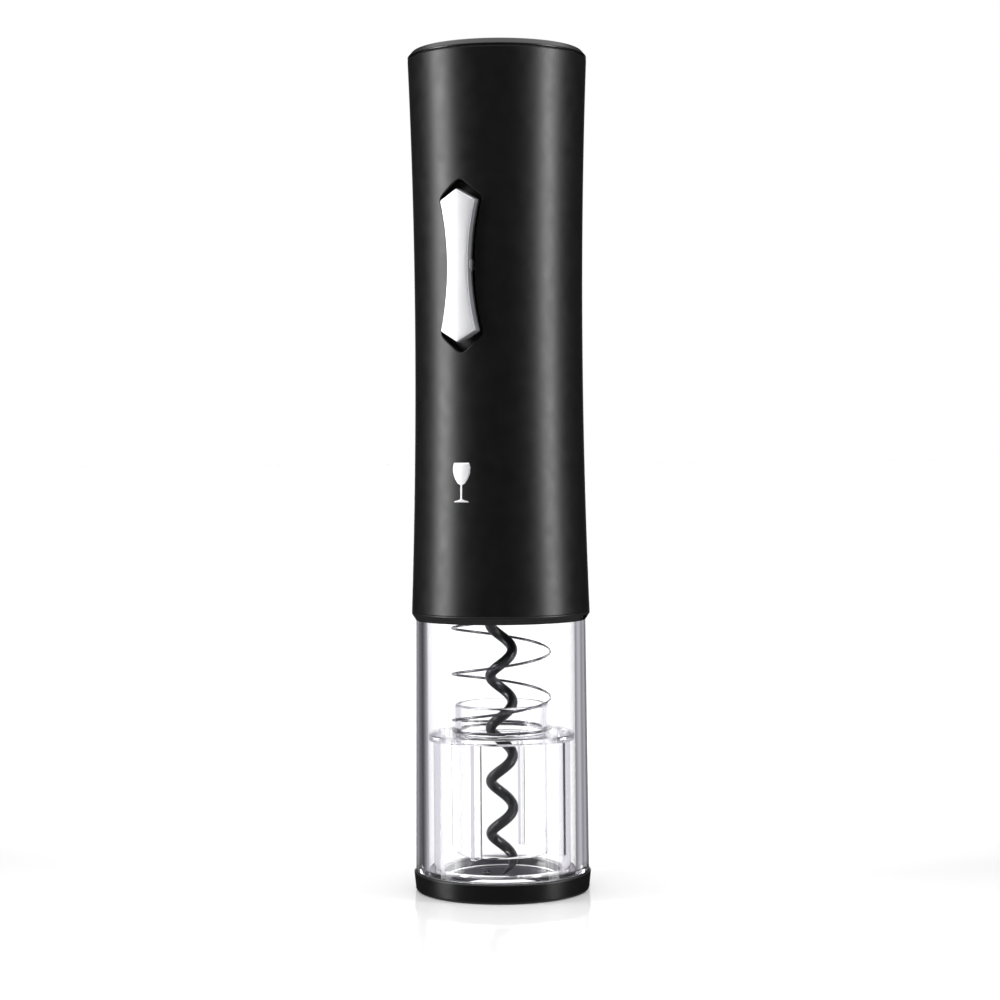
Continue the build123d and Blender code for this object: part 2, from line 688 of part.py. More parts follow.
with BuildPart() as retaining_clip:
    with BuildSketch(Plane.XY.offset(CLIP_Z + (CLIP_GROOVE - CLIP_THICKNESS) / 2)):
        Circle(CLIP_R)
        Circle(CLIP_GROOVE_R + PRESS_FIT, mode=Mode.SUBTRACT)
        Rectangle(CLIP_MOUTH, DEEP, align=(Align.CENTER, Align.MAX), mode=Mode.SUBTRACT)
    extrude(amount=CLIP_THICKNESS)
save(retaining_clip, "retaining_clip")

with BuildPart() as drive_frame:
    rod(FRAME_R, SEAT_Z, FRAME_TOP)
    rod(FRAME_IN_R, FRAME_FLOOR_TOP, FRAME_TOP, mode=Mode.SUBTRACT)
    rod(SNOUT_R + PRESS_FIT, SEAT_Z, FRAME_FLOOR_TOP, mode=Mode.SUBTRACT)
    with Locations((0, 0, FRAME_RIB_LOW)):
        with PolarLocations(MOTOR_R + 2 * GEAR_PIN_FIT, FRAME_RIBS, start_angle=45):
            Box(*FRAME_RIB, FRAME_TOP - FRAME_RIB_LOW, align=(Align.MIN, Align.CENTER, Align.MIN))
    with Locations((0, 0, FRAME_FLOOR_TOP)):
        with PolarLocations(EAR_OFFSET, PLANETS, start_angle=90):
            Cylinder(FRAME_BOSS_R, NOSE_LOW - FRAME_FLOOR_TOP, align=BASE)
    with Locations((0, 0, SEAT_Z)):
        with PolarLocations(EAR_OFFSET, PLANETS, start_angle=90):
            Cylinder(STACK_SCREW_R + PRESS_FIT, NOSE_LOW - SEAT_Z, align=BASE, mode=Mode.SUBTRACT)
            Cylinder(STACK_RECESS_R, STACK_HEAD, align=BASE, mode=Mode.SUBTRACT)
save(drive_frame, "drive_frame")

with BuildPart() as gearbox_screws:
    with Locations((0, 0, SEAT_Z)):
        with PolarLocations(EAR_OFFSET, PLANETS, start_angle=90):
            Cylinder(STACK_SCREW_R, MOTOR_LOW - SEAT_Z, align=BASE)
            Cylinder(STACK_HEAD_R, STACK_HEAD, align=BASE)
save(gearbox_screws, "gearbox_screws")

# ================================================================ worm
with BuildPart() as worm_hub:
    rod(HUB_R, HUB_LOW, HUB_TOP)
    fillet(worm_hub.edges().group_by(Axis.Z)[0], HUB_ROUND)
    rod(WORM_SHANK_R + PRESS_FIT, HUB_LOW, WORM_SHANK_TOP, mode=Mode.SUBTRACT)
    with BuildSketch(Plane.XY.offset(SHAFT_END - SHAFT_END_GAP)):
        Circle(OUTPUT_SHAFT_R + PRESS_FIT)
        with Locations((0, SHAFT_FLAT + PRESS_FIT)):
            Rectangle(DEEP, DEEP, align=(Align.CENTER, Align.MIN), mode=Mode.SUBTRACT)
    extrude(amount=FLAT_TOP - SHAFT_END + SHAFT_END_GAP, mode=Mode.SUBTRACT)
    rod(OUTPUT_SHAFT_R + PRESS_FIT, FLAT_TOP, HUB_TOP, mode=Mode.SUBTRACT)
save(worm_hub, "worm_hub")

TIP_ANGLE = math.radians(WORM_TIP_ANGLE)
WORM_PLANE = Plane(
    origin=(0, 0, WORM_TIP_Z),
    x_dir=(math.cos(TIP_ANGLE), math.sin(TIP_ANGLE), 0),
    z_dir=(0, 0, 1),
)

with BuildPart() as worm:
    with BuildLine(WORM_PLANE) as worm_path:
        Helix(WORM_PITCH, WORM_COIL_TOP - WORM_TIP_Z, WORM_R)
    coil = worm_path.wires()[0]
    with BuildSketch(Plane(origin=coil @ 0, z_dir=coil % 0)) as worm_section:
        Circle(WORM_WIRE_R)
    sweep(worm_section.sketch, path=coil, is_frenet=True)
    split(bisect_by=Plane.XY.offset(WORM_TIP_Z), keep=Keep.TOP)
    rod(WORM_SHANK_R, WORM_COIL_TOP - WORM_RUN_OUT, WORM_SHANK_TOP)
save(worm, "worm")

# ================================================================ bezel, clear shell, guide, spring
with BuildPart() as lower_bezel:
    with BuildSketch(Plane.XZ):
        with BuildLine():
            Polyline(
                (BEZEL_BORE, SHELL_TOP),
                (SHELL_TOP_R, SHELL_TOP),
                (HOUSING_END_R, HOUSING_LOW - BEZEL_RIM),
                (HOUSING_END_R, HOUSING_LOW),
                (BEZEL_BORE, HOUSING_LOW),
                close=True,
            )
        make_face()
    revolve(axis=Axis.Z)
    with Locations((0, 0, SLOT_Z)):
        with PolarLocations(SHELL_TOP_R, SLOTS, start_angle=SLOT_FIRST):
            Box(DEEP, SLOT_WIDTH, SLOT_HEIGHT, mode=Mode.SUBTRACT)
save(lower_bezel, "lower_bezel")

with BuildPart() as clear_shell:
    with BuildSketch(Plane.XZ):
        with BuildLine():
            Polyline(
                (SHELL_LIP_R, SHELL_FOOT_Z),
                (SHELL_FOOT_R, SHELL_FOOT_Z),
                (SHELL_FOOT_R, SHELL_LOW),
                (SHELL_LOW_R, SHELL_LOW),
                (SHELL_TOP_R, SHELL_TOP),
                (SHELL_SPIGOT_R, SHELL_TOP),
                (SHELL_SPIGOT_R, SHELL_SPIGOT_TOP),
                (SHELL_BORE, SHELL_SPIGOT_TOP),
                (SHELL_BORE, SHELL_LIP_TOP),
                (SHELL_LIP_R, SHELL_LIP_TOP),
                close=True,
            )
        make_face()
    revolve(axis=Axis.Z)
    with Locations((0, 0, SLOT_Z)):
        with PolarLocations(SHELL_SPIGOT_R - CATCH_ROOT, SLOTS, start_angle=SLOT_FIRST):
            Box(*CATCH, align=(Align.MIN, Align.CENTER, Align.CENTER))
save(clear_shell, "clear_shell")

with BuildPart() as guide_sleeve:
    rod(GUIDE_R, GUIDE_LOW, GUIDE_ROOF)
    rod(GUIDE_FLANGE_R, GUIDE_ROOF, GUIDE_SEAT)
    rod(GUIDE_SKIRT_IN, GUIDE_LOW, GUIDE_ROOF, mode=Mode.SUBTRACT)
    rod(GUIDE_TUBE_R, GUIDE_TUBE_LOW, GUIDE_SEAT)
    with Locations((0, 0, GUIDE_TUBE_LOW)):
        with PolarLocations(GUIDE_TUBE_R - WEB_ROOT, GUIDE_WEBS):
            Box(
                GUIDE_SKIRT_IN - GUIDE_TUBE_R + 2 * WEB_ROOT,
                WEB_WIDTH,
                GUIDE_ROOF - GUIDE_TUBE_LOW,
                align=(Align.MIN, Align.CENTER, Align.MIN),
            )
    rod(GUIDE_TUBE_R, GUIDE_SEAT, COLLAR_TOP)
    fillet(guide_sleeve.edges().group_by(Axis.Z)[-1], COLLAR_ROUND)
    rod(GUIDE_BORE, GUIDE_TUBE_LOW, COLLAR_TOP, mode=Mode.SUBTRACT)
save(guide_sleeve, "guide_sleeve")

with BuildPart() as guide_spring:
    with BuildLine(Plane.XY.offset(GUIDE_SEAT + SPRING_WIRE_R)) as spring_path:
        spring_height = SEAT_Z - GUIDE_SEAT - 2 * SPRING_WIRE_R
        Helix(spring_height / SPRING_TURNS, spring_height, SPRING_R)
    spring_wire = spring_path.wires()[0]
    with BuildSketch(Plane(origin=spring_wire @ 0, z_dir=spring_wire % 0)) as spring_section:
        Circle(SPRING_WIRE_R)
    sweep(spring_section.sketch, path=spring_wire, is_frenet=True)
save(guide_spring, "guide_spring")

# ================================================================ foil cutter
with BuildPart() as foil_cutter_ring:
    with BuildSketch(Plane.XZ):
        with BuildLine():
            Polyline(
                (MOUTH_R + MOUTH_CHAMFER, 0),
                (RING_FOOT_R, 0),
                (RING_LOW_R, RING_LOW_R - RING_FOOT_R),
                (RING_TOP_R, RING_TOP - RING_EDGE),
                (RING_TOP_R - RING_EDGE, RING_TOP),
                (RING_SOCKET_R, RING_TOP),
                (RING_SOCKET_R, RING_FLOOR),
                (MOUTH_R, RING_FLOOR),
                (MOUTH_R, MOUTH_CHAMFER),
                close=True,
            )
        make_face()
    revolve(axis=Axis.Z)
    with Locations((0, 0, WHEEL_Z)):
        with PolarLocations(WHEEL_OFFSET, WHEELS, start_angle=WHEEL_FIRST):
            Cylinder(POCKET_R, 2 * POCKET_HALF, mode=Mode.SUBTRACT)
    with Locations((0, 0, WHEEL_PIN_LOW)):
        with PolarLocations(WHEEL_OFFSET, WHEELS, start_angle=WHEEL_FIRST):
            Cylinder(WHEEL_PIN_R + PRESS_FIT, RING_FLOOR - WHEEL_PIN_LOW, align=BASE, mode=Mode.SUBTRACT)
save(foil_cutter_ring, "foil_cutter_ring")

with BuildPart() as cutter_pins:
    with Locations((0, 0, WHEEL_PIN_LOW)):
        with PolarLocations(WHEEL_OFFSET, WHEELS, start_angle=WHEEL_FIRST):
            Cylinder(WHEEL_PIN_R, RING_FLOOR - WHEEL_PIN_LOW, align=BASE)
save(cutter_pins, "cutter_pins")


def make_wheel(index):
    """One cutting wheel: a thin disc with a bevelled edge, bored for its pin."""
    wheel_x, wheel_y = on_circle(WHEEL_OFFSET, math.radians(WHEEL_FIRST + 360 / WHEELS * index))
    with BuildPart(Plane(origin=(wheel_x, wheel_y, WHEEL_Z))) as wheel:
        Cylinder(WHEEL_R, 2 * WHEEL_HALF)
        chamfer(wheel.edges(), WHEEL_BEVEL)
        Cylinder(WHEEL_PIN_R + GEAR_PIN_FIT, 2 * WHEEL_HALF, mode=Mode.SUBTRACT)
    return wheel


for index in range(WHEELS):
    save(make_wheel(index), f"cutter_wheel_{index + 1}")
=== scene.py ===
import json
import math

import bmesh
import bpy
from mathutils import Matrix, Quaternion, Vector


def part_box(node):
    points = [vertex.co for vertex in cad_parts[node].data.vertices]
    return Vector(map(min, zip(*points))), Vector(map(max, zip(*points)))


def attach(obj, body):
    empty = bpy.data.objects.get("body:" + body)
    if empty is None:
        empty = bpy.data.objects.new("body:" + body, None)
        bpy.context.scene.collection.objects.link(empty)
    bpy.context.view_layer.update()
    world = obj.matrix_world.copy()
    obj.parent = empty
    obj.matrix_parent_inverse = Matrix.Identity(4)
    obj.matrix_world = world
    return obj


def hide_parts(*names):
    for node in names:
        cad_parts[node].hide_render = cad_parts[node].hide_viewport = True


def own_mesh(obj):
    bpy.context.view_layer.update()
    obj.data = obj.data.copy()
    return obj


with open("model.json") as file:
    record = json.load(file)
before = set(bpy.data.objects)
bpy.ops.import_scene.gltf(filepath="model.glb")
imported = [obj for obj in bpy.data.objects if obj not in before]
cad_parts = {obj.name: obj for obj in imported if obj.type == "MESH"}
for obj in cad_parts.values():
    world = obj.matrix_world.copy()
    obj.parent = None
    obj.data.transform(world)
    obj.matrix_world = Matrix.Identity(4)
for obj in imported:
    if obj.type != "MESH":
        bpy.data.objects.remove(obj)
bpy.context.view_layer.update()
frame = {"nodes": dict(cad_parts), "record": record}

MM = 0.001
TURN = 2 * math.pi
SMOOTH_ANGLE = math.radians(28)
SEGMENTS = 224
HOUSING_SEGMENTS = 288
DISC_SEGMENTS = 96
SMALL_SEGMENTS = 64
CORNER_STEPS = 6


# ================================================================ places from the frame
def low(node):
    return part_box(node)[0].z


def high(node):
    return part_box(node)[1].z


def reach(node):
    """The radius of a round node that stands about the Z axis."""
    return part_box(node)[1].x


# ================================================================ mesh helpers
def add_object(name, mesh):
    """A new object from a bmesh, smooth except at its sharp edges."""
    bmesh.ops.recalc_face_normals(mesh, faces=mesh.faces)
    data = bpy.data.meshes.new(name)
    mesh.to_mesh(data)
    mesh.free()
    piece = bpy.data.objects.new(name, data)
    bpy.context.scene.collection.objects.link(piece)
    smooth(piece)
    return piece


def smooth(piece):
    piece.data.shade_smooth()
    piece.data.set_sharp_from_angle(angle=SMOOTH_ANGLE)


def rounded(corners):
    """A closed outline from (x, z) or (x, z, radius) corners. A corner with a radius becomes an arc."""
    outline = []
    for index, corner in enumerate(corners):
        here = Vector(corner[:2])
        radius = corner[2] if len(corner) > 2 else 0
        if radius == 0:
            outline.append(tuple(here))
            continue
        back = Vector(corners[index - 1][:2]) - here
        ahead = Vector(corners[(index + 1) % len(corners)][:2]) - here
        half = back.angle(ahead) / 2
        cut = min(radius / math.tan(half), 0.45 * min(back.length, ahead.length))
        start = here + back.normalized() * cut
        end = here + ahead.normalized() * cut
        middle = here + (back.normalized() + ahead.normalized()).normalized() * (cut / math.cos(half))
        sweep = (start - middle).angle(end - middle)
        for step in range(CORNER_STEPS + 1):
            share = step / CORNER_STEPS
            spoke = (start - middle) * math.sin((1 - share) * sweep)
            spoke += (end - middle) * math.sin(share * sweep)
            outline.append(tuple(middle + spoke / math.sin(sweep)))
    return outline


def lathe(name, outline, segments=SEGMENTS):
    """A solid of revolution about Z from a closed outline of (radius, height) points."""
    mesh = bmesh.new()
    rings = []
    for radius, height in outline:
        if radius < 0.001 * MM:
            rings.append([mesh.verts.new((0, 0, height))] * segments)
            continue
        angles = [TURN * step / segments for step in range(segments)]
        rings.append([mesh.verts.new((radius * math.cos(a), radius * math.sin(a), height)) for a in angles])
    for ring, following in zip(rings, rings[1:] + rings[:1]):
        for step in range(segments):
            after = (step + 1) % segments
            corners = list(dict.fromkeys((ring[step], ring[after], following[after], following[step])))
            if len(corners) > 2:
                mesh.faces.new(corners)
    return add_object(name, mesh)


def block(name, lowest, highest, turn):
    """A box between two corners, turned about the Z axis. It is only used to cut or join."""
    mesh = bmesh.new()
    bmesh.ops.create_cube(mesh, size=1)
    lowest, highest = Vector(lowest), Vector(highest)
    for vertex in mesh.verts:
        vertex.co = (lowest + highest) / 2 + vertex.co * (highest - lowest)
        vertex.co.rotate(Quaternion((0, 0, 1), turn))
    return add_object(name, mesh)


def disc_at(name, radius, offset, turn, lowest, highest):
    """An upright cylinder away from the axis. It is only used to cut or join."""
    piece = lathe(name, [(0, lowest), (radius, lowest), (radius, highest), (0, highest)], SMALL_SEGMENTS)
    shift = Vector((offset * math.cos(turn), offset * math.sin(turn), 0))
    for vertex in piece.data.vertices:
        vertex.co += shift
    return piece


def apply_modifiers(piece):
    graph = bpy.context.evaluated_depsgraph_get()
    solved = bpy.data.meshes.new_from_object(piece.evaluated_get(graph))
    piece.modifiers.clear()
    piece.data = solved
    return piece


def combine(piece, tools, operation):
    """Cuts the tools from a piece, or joins them to it, and removes them."""
    for tool in tools:
        modifier = piece.modifiers.new(tool.name, "BOOLEAN")
        modifier.operation = operation
        modifier.solver = "EXACT"
        modifier.object = tool
    apply_modifiers(piece)
    for tool in tools:
        bpy.data.objects.remove(tool)
    smooth(piece)
    return piece


def weigh_normals(piece):
    """Lets broad faces keep their true normals beside rounded edges, so clear walls don't bend the view."""
    modifier = piece.modifiers.new("weigh", "WEIGHTED_NORMAL")
    modifier.keep_sharp = True
    modifier.weight = 100
    return apply_modifiers(piece)


def tube(name, points, radii, sides):
    """A closed tube that winds about the Z axis through the points, with a radius at each."""
    mesh = bmesh.new()
    rings = []
    for index, point in enumerate(points):
        ahead = points[min(index + 1, len(points) - 1)] - points[max(index - 1, 0)]
        outward = Vector((point.x, point.y, 0)).normalized()
        across = ahead.normalized().cross(outward).normalized()
        outward = across.cross(ahead.normalized())
        ring = []
        for side in range(sides):
            angle = TURN * side / sides
            spoke = outward * math.cos(angle) + across * math.sin(angle)
            ring.append(mesh.verts.new(point + spoke * radii[index]))
        rings.append(ring)
    for ring, following in zip(rings, rings[1:]):
        for side in range(sides):
            after = (side + 1) % sides
            mesh.faces.new((ring[side], ring[after], following[after], following[side]))
    mesh.faces.new(rings[0])
    mesh.faces.new(rings[-1])
    return add_object(name, mesh)


def place(piece, body, slot, material, *nodes):
    """Gives a piece its material and its body, and hides the CAD nodes it stands for. The slot is not used.
    """
    piece.data.materials.clear()
    piece.data.materials.append(material)
    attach(piece, body)
    if nodes:
        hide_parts(*nodes)


# ================================================================ material helpers
def new_material(name, colour, roughness, **constants):
    """A Principled material. Constants are set on the shader's own sockets."""
    material = bpy.data.materials.new(name)
    material.use_nodes = True
    shader = material.node_tree.nodes["Principled BSDF"]
    shader.inputs["Base Color"].default_value = (*colour, 1)
    shader.inputs["Roughness"].default_value = roughness
    for socket, value in constants.items():
        shader.inputs[socket.replace("_", " ")].default_value = value
    return material


def texture(material, kind, scale, stretch=(1, 1, 1), **settings):
    """A noise or brick texture in the object's own space, in features per metre."""
    tree = material.node_tree
    place_node = tree.nodes.new("ShaderNodeTexCoord")
    mapping = tree.nodes.new("ShaderNodeMapping")
    mapping.inputs["Scale"].default_value = stretch
    node = tree.nodes.new(kind)
    node.inputs["Scale"].default_value = scale
    for socket, value in settings.items():
        node.inputs[socket.replace("_", " ")].default_value = value
    tree.links.new(place_node.outputs["Object"], mapping.inputs["Vector"])
    tree.links.new(mapping.outputs["Vector"], node.inputs["Vector"])
    return node


def map_range(nodes, least, most, start=0.0, end=1.0):
    node = nodes.new("ShaderNodeMapRange")
    node.inputs["From Min"].default_value = start
    node.inputs["From Max"].default_value = end
    node.inputs["To Min"].default_value = least
    node.inputs["To Max"].default_value = most
    return node


# Nearly all of a noise texture's values lie between these.
NOISE_SPAN = (0.3, 0.7)


def vary_roughness(material, noise, least, most):
    tree = material.node_tree
    spread = map_range(tree.nodes, least, most, *NOISE_SPAN)
    tree.links.new(noise.outputs["Fac"], spread.inputs["Value"])
    tree.links.new(spread.outputs["Result"], tree.nodes["Principled BSDF"].inputs["Roughness"])


def vary_colour(material, noise, dark, light):
    tree = material.node_tree
    ramp = tree.nodes.new("ShaderNodeValToRGB")
    for stop, position, colour in zip(ramp.color_ramp.elements, NOISE_SPAN, (dark, light)):
        stop.position = position
        stop.color = (*colour, 1)
    tree.links.new(noise.outputs["Fac"], ramp.inputs["Fac"])
    tree.links.new(ramp.outputs["Color"], tree.nodes["Principled BSDF"].inputs["Base Color"])


def add_bump(material, noise, depth):
    tree = material.node_tree
    bump = tree.nodes.new("ShaderNodeBump")
    bump.inputs["Strength"].default_value = 1
    bump.inputs["Distance"].default_value = depth
    tree.links.new(noise.outputs["Fac"], bump.inputs["Height"])
    tree.links.new(bump.outputs["Normal"], tree.nodes["Principled BSDF"].inputs["Normal"])


def grey(value):
    return (value, value, value)


# ================================================================ materials
def moulded(name, colour, roughness, grain=7000, depth=0.004 * MM):
    """Injection-moulded plastic: a fine spark-eroded grain and slightly uneven gloss."""
    material = new_material(name, colour, roughness, Specular_IOR_Level=0.5)
    patches = texture(material, "ShaderNodeTexNoise", 90, Detail=4)
    vary_colour(material, patches, tuple(0.85 * c for c in colour), tuple(1.15 * c for c in colour))
    unevenness = texture(material, "ShaderNodeTexNoise", 260, Detail=5)
    vary_roughness(material, unevenness, roughness - 0.03, roughness + 0.03)
    add_bump(material, texture(material, "ShaderNodeTexNoise", grain, Detail=3), depth)
    return material


def brushed(name, colour, roughness, stretch, scale=900):
    """Metal with fine marks drawn out along one axis."""
    material = new_material(name, colour, roughness, Metallic=1.0)
    marks = texture(material, "ShaderNodeTexNoise", scale, stretch, Detail=6)
    vary_colour(material, marks, tuple(0.9 * c for c in colour), tuple(min(1, 1.06 * c) for c in colour))
    vary_roughness(material, marks, roughness - 0.06, roughness + 0.08)
    add_bump(material, marks, 0.003 * MM)
    return material


def satin_paint(name, colour, roughness):
    """Silver paint: metal flakes in a clear coat, with a fine even grain."""
    material = new_material(name, colour, roughness, Metallic=0.7)
    flakes = texture(material, "ShaderNodeTexNoise", 9000, Detail=2)
    vary_colour(material, flakes, tuple(0.95 * c for c in colour), tuple(min(1, 1.04 * c) for c in colour))
    unevenness = texture(material, "ShaderNodeTexNoise", 300, Detail=3)
    vary_roughness(material, unevenness, roughness - 0.02, roughness + 0.02)
    add_bump(material, flakes, 0.0006 * MM)
    return material


# A weak tint keeps the soft boxes' mirror images in the clear walls from whiting out the spring.
WEAK_SHEEN = (0.25, 0.25, 0.25, 1)


def clear(name, roughness, wave_depth):
    """Clear moulded plastic, with faint flow waves in its faces."""
    material = new_material(name, grey(0.985), roughness, Transmission_Weight=1.0, IOR=1.5)
    material.node_tree.nodes["Principled BSDF"].inputs["Specular Tint"].default_value = WEAK_SHEEN
    waves = texture(material, "ShaderNodeTexNoise", 70, (1, 1, 0.25), Detail=2)
    vary_roughness(material, texture(material, "ShaderNodeTexNoise", 300), roughness, roughness + 0.02)
    add_bump(material, waves, wave_depth)
    return material


def printed_circuit(name):
    """Green laminate in two close shades, in a grid like its copper fields."""
    dark, light = (0.03, 0.16, 0.07), (0.04, 0.2, 0.09)
    material = new_material(name, dark, 0.35)
    tracks = texture(material, "ShaderNodeTexBrick", 260, Color1=(*dark, 1), Color2=(*light, 1))
    tree = material.node_tree
    tree.links.new(tracks.outputs["Color"], tree.nodes["Principled BSDF"].inputs["Base Color"])
    return material


ALONG_Z = (1, 1, 0.04)
ALONG_X = (0.04, 1, 1)
MATERIALS = {
    "black_housing": moulded("satin_black_housing", grey(0.0025), 0.385),
    "black_cap": moulded("satin_black_cap", grey(0.0025), 0.30),
    "black_trim": moulded("black_trim", grey(0.006), 0.42),
    "black_ring": moulded("satin_black_ring", grey(0.0025), 0.38, 2500, 0.001 * MM),
    "silver_button": satin_paint("satin_silver", (0.9, 0.9, 0.92), 0.46),
    "clear_plastic": clear("clear_shell_plastic", 0.0, 0.01 * MM),
    "clear_guide": clear("clear_guide_plastic", 0.01, 0.02 * MM),
    "coated_worm": moulded("black_coating", (0.008, 0.009, 0.012), 0.34, 5000, 0.002 * MM),
    "spring_steel": brushed("spring_wire", (0.12, 0.12, 0.13), 0.28, (1, 1, 1), 2500),
    "bright_steel": brushed("turned_steel", (0.62, 0.62, 0.64), 0.3, ALONG_X),
    "blade_steel": brushed("ground_steel", (0.7, 0.7, 0.72), 0.22, ALONG_X, 1500),
    "inner_plastic": moulded("dark_inner_plastic", grey(0.05), 0.45),
    "gear_plastic": moulded("natural_acetal", (0.72, 0.7, 0.64), 0.4),
    "brass": brushed("machined_brass", (0.72, 0.53, 0.22), 0.28, ALONG_X),
    "contact_metal": brushed("nickel_plate", (0.7, 0.68, 0.62), 0.25, ALONG_X),
    "motor_metal": brushed("zinc_plated_can", (0.55, 0.56, 0.58), 0.36, ALONG_Z),
    "circuit_board": printed_circuit("green_laminate"),
    "cell_wrap": moulded("grey_cell_wrap", (0.2, 0.22, 0.25), 0.25),
    "seal_rubber": moulded("black_rubber", grey(0.02), 0.6),
}
for entry in frame["record"]["subparts"]:
    node = frame["nodes"][entry["node"]]
    node.data.materials.clear()
    node.data.materials.append(MATERIALS[entry["material_slot"]])
    smooth(node)

# ================================================================ housing
WAIST_R = 23.96 * MM
WAIST_Z = 160.0 * MM
HOUSING_BORE = 21.9 * MM
HOUSING_LOW = low("housing_sleeve")
HOUSING_HIGH = high("housing_sleeve")
HOUSING_END_R = reach("housing_sleeve")
HOUSING_STEPS = 40
HOUSING_EDGE = 0.2 * MM
SPIGOT_BORE = 22.8 * MM
SPIGOT_BORE_TOP = 89 * MM
INNER_RIB_R = 20.0 * MM
INNER_RIB_LOW, INNER_RIB_HIGH = 94 * MM, 96 * MM
BUTTON_Z = (low("rocker_button") + high("rocker_button")) / 2
# An hourglass: its half height at the points and at the corners, and its half width at the corners and waist.
WINDOW = (24.35 * MM, 18.95 * MM, 6.65 * MM, 4.15 * MM)
WINDOW_CORNER = 1.8 * MM
WINDOW_EDGE = 0.35 * MM
WINDOW_EDGE_STEPS = 4
WINDOW_DEPTH = 4.5 * MM
SIDE_STEPS = 14


def housing_curve(z):
    """The housing's outer radius and its slope at a height: two arcs that meet upright at the waist."""
    end = HOUSING_HIGH if z > WAIST_Z else HOUSING_LOW
    flare = HOUSING_END_R - WAIST_R
    arc = ((end - WAIST_Z) ** 2 + flare ** 2) / (2 * flare)
    rise = z - WAIST_Z
    fall = math.sqrt(arc ** 2 - rise ** 2)
    return WAIST_R + arc - fall, rise / fall


def half_outline(apex, corner, half, waist, inset):
    """The right half of an hourglass, from its lower point to its upper one, moved in by the inset."""
    lower = [Vector((0, -apex)), Vector((half, -corner))]
    bulge = half - waist
    arc = (corner ** 2 + bulge ** 2) / (2 * bulge)
    side = []
    for step in range(1, SIDE_STEPS):
        z = corner * (2 * step / SIDE_STEPS - 1)
        side.append(Vector((waist + arc - math.sqrt(arc ** 2 - z ** 2), z)))
    points = lower + side + [Vector((half, corner)), Vector((0, apex))]
    moved = []
    for index, point in enumerate(points):
        before = points[index - 1] if index else Vector((-half, -corner))
        after = points[index + 1] if index + 1 < len(points) else Vector((-half, corner))
        into = (point - before).normalized()
        out = (after - point).normalized()
        normal_in = Vector((into.y, -into.x))
        normal_out = Vector((out.y, -out.x))
        mitre = (normal_in + normal_out).normalized()
        moved.append(point - mitre * (inset / mitre.dot(normal_in)))
    return moved


def whole(half, radius):
    """A closed outline from its right half, with rounded corners. It starts at the lower tip."""
    points = half + [Vector((-point.x, point.y)) for point in reversed(half[1:-1])]
    tips = (0, 1, len(half) - 2, len(half) - 1, len(half), len(points) - 1)
    corners = [(*point, radius) if index in tips else tuple(point) for index, point in enumerate(points)]
    outline = [Vector(point) for point in rounded(corners)]
    return outline[CORNER_STEPS // 2:] + outline[:CORNER_STEPS // 2]


def front_point(x, z, radius):
    """The point of an upright cylinder's front face at this x and height."""
    return Vector((x, -math.sqrt(radius ** 2 - x ** 2), z))


def bridge(mesh, rings):
    for ring, following in zip(rings, rings[1:]):
        for step in range(len(ring)):
            after = (step + 1) % len(ring)
            mesh.faces.new((ring[step], ring[after], following[after], following[step]))


def window_cutter():
    """The hourglass that opens the housing wall. It flares at the surface, which softens the edge."""
    mesh = bmesh.new()
    levels = [(-WINDOW_DEPTH, 0)]
    for step in range(WINDOW_EDGE_STEPS + 1):
        angle = math.pi / 2 * step / WINDOW_EDGE_STEPS
        levels.append((-WINDOW_EDGE * (1 - math.sin(angle)), -WINDOW_EDGE * (1 - math.cos(angle))))
    levels.append((2 * MM, -3 * WINDOW_EDGE))
    rings = []
    for lift, inset in levels:
        outline = whole(half_outline(*WINDOW, inset), WINDOW_CORNER)
        ring = []
        for point in outline:
            z = BUTTON_Z + point.y
            ring.append(mesh.verts.new(front_point(point.x, z, housing_curve(z)[0] + lift)))
        rings.append(ring)
    bridge(mesh, rings)
    mesh.faces.new(rings[0])
    mesh.faces.new(rings[-1])
    return add_object("window_cutter", mesh)


def make_housing():
    """The waisted tube, with an inner rib, a wider bore at its foot and the button's window."""
    rise = (HOUSING_HIGH - HOUSING_LOW) / HOUSING_STEPS
    heights = [HOUSING_LOW + rise * step for step in range(HOUSING_STEPS + 1)]
    heights[0] += HOUSING_EDGE
    heights[-1] -= HOUSING_EDGE
    outer = [(housing_curve(z)[0], z) for z in heights]
    edge_r = HOUSING_END_R - HOUSING_EDGE
    bevel = HOUSING_EDGE * 0.3
    outline = outer + [
        (HOUSING_END_R - bevel, HOUSING_HIGH - bevel),
        (edge_r, HOUSING_HIGH),
        (HOUSING_BORE, HOUSING_HIGH),
        (HOUSING_BORE, INNER_RIB_HIGH),
        (INNER_RIB_R, INNER_RIB_HIGH),
        (INNER_RIB_R, INNER_RIB_LOW),
        (HOUSING_BORE, INNER_RIB_LOW),
        (HOUSING_BORE, SPIGOT_BORE_TOP),
        (SPIGOT_BORE, SPIGOT_BORE_TOP),
        (SPIGOT_BORE, HOUSING_LOW),
        (edge_r, HOUSING_LOW),
        (HOUSING_END_R - bevel, HOUSING_LOW + bevel),
    ]
    piece = combine(lathe("housing_shell", outline, HOUSING_SEGMENTS), [window_cutter()], "DIFFERENCE")
    shade_by_curve(piece)
    place(piece, "chassis", "black_housing", MATERIALS["black_housing"], "housing_sleeve")


# A face is on the outer wall if it is clear of the end edges and no deeper than the skin.
END_BAND = 0.3 * MM
SKIN = 0.05 * MM


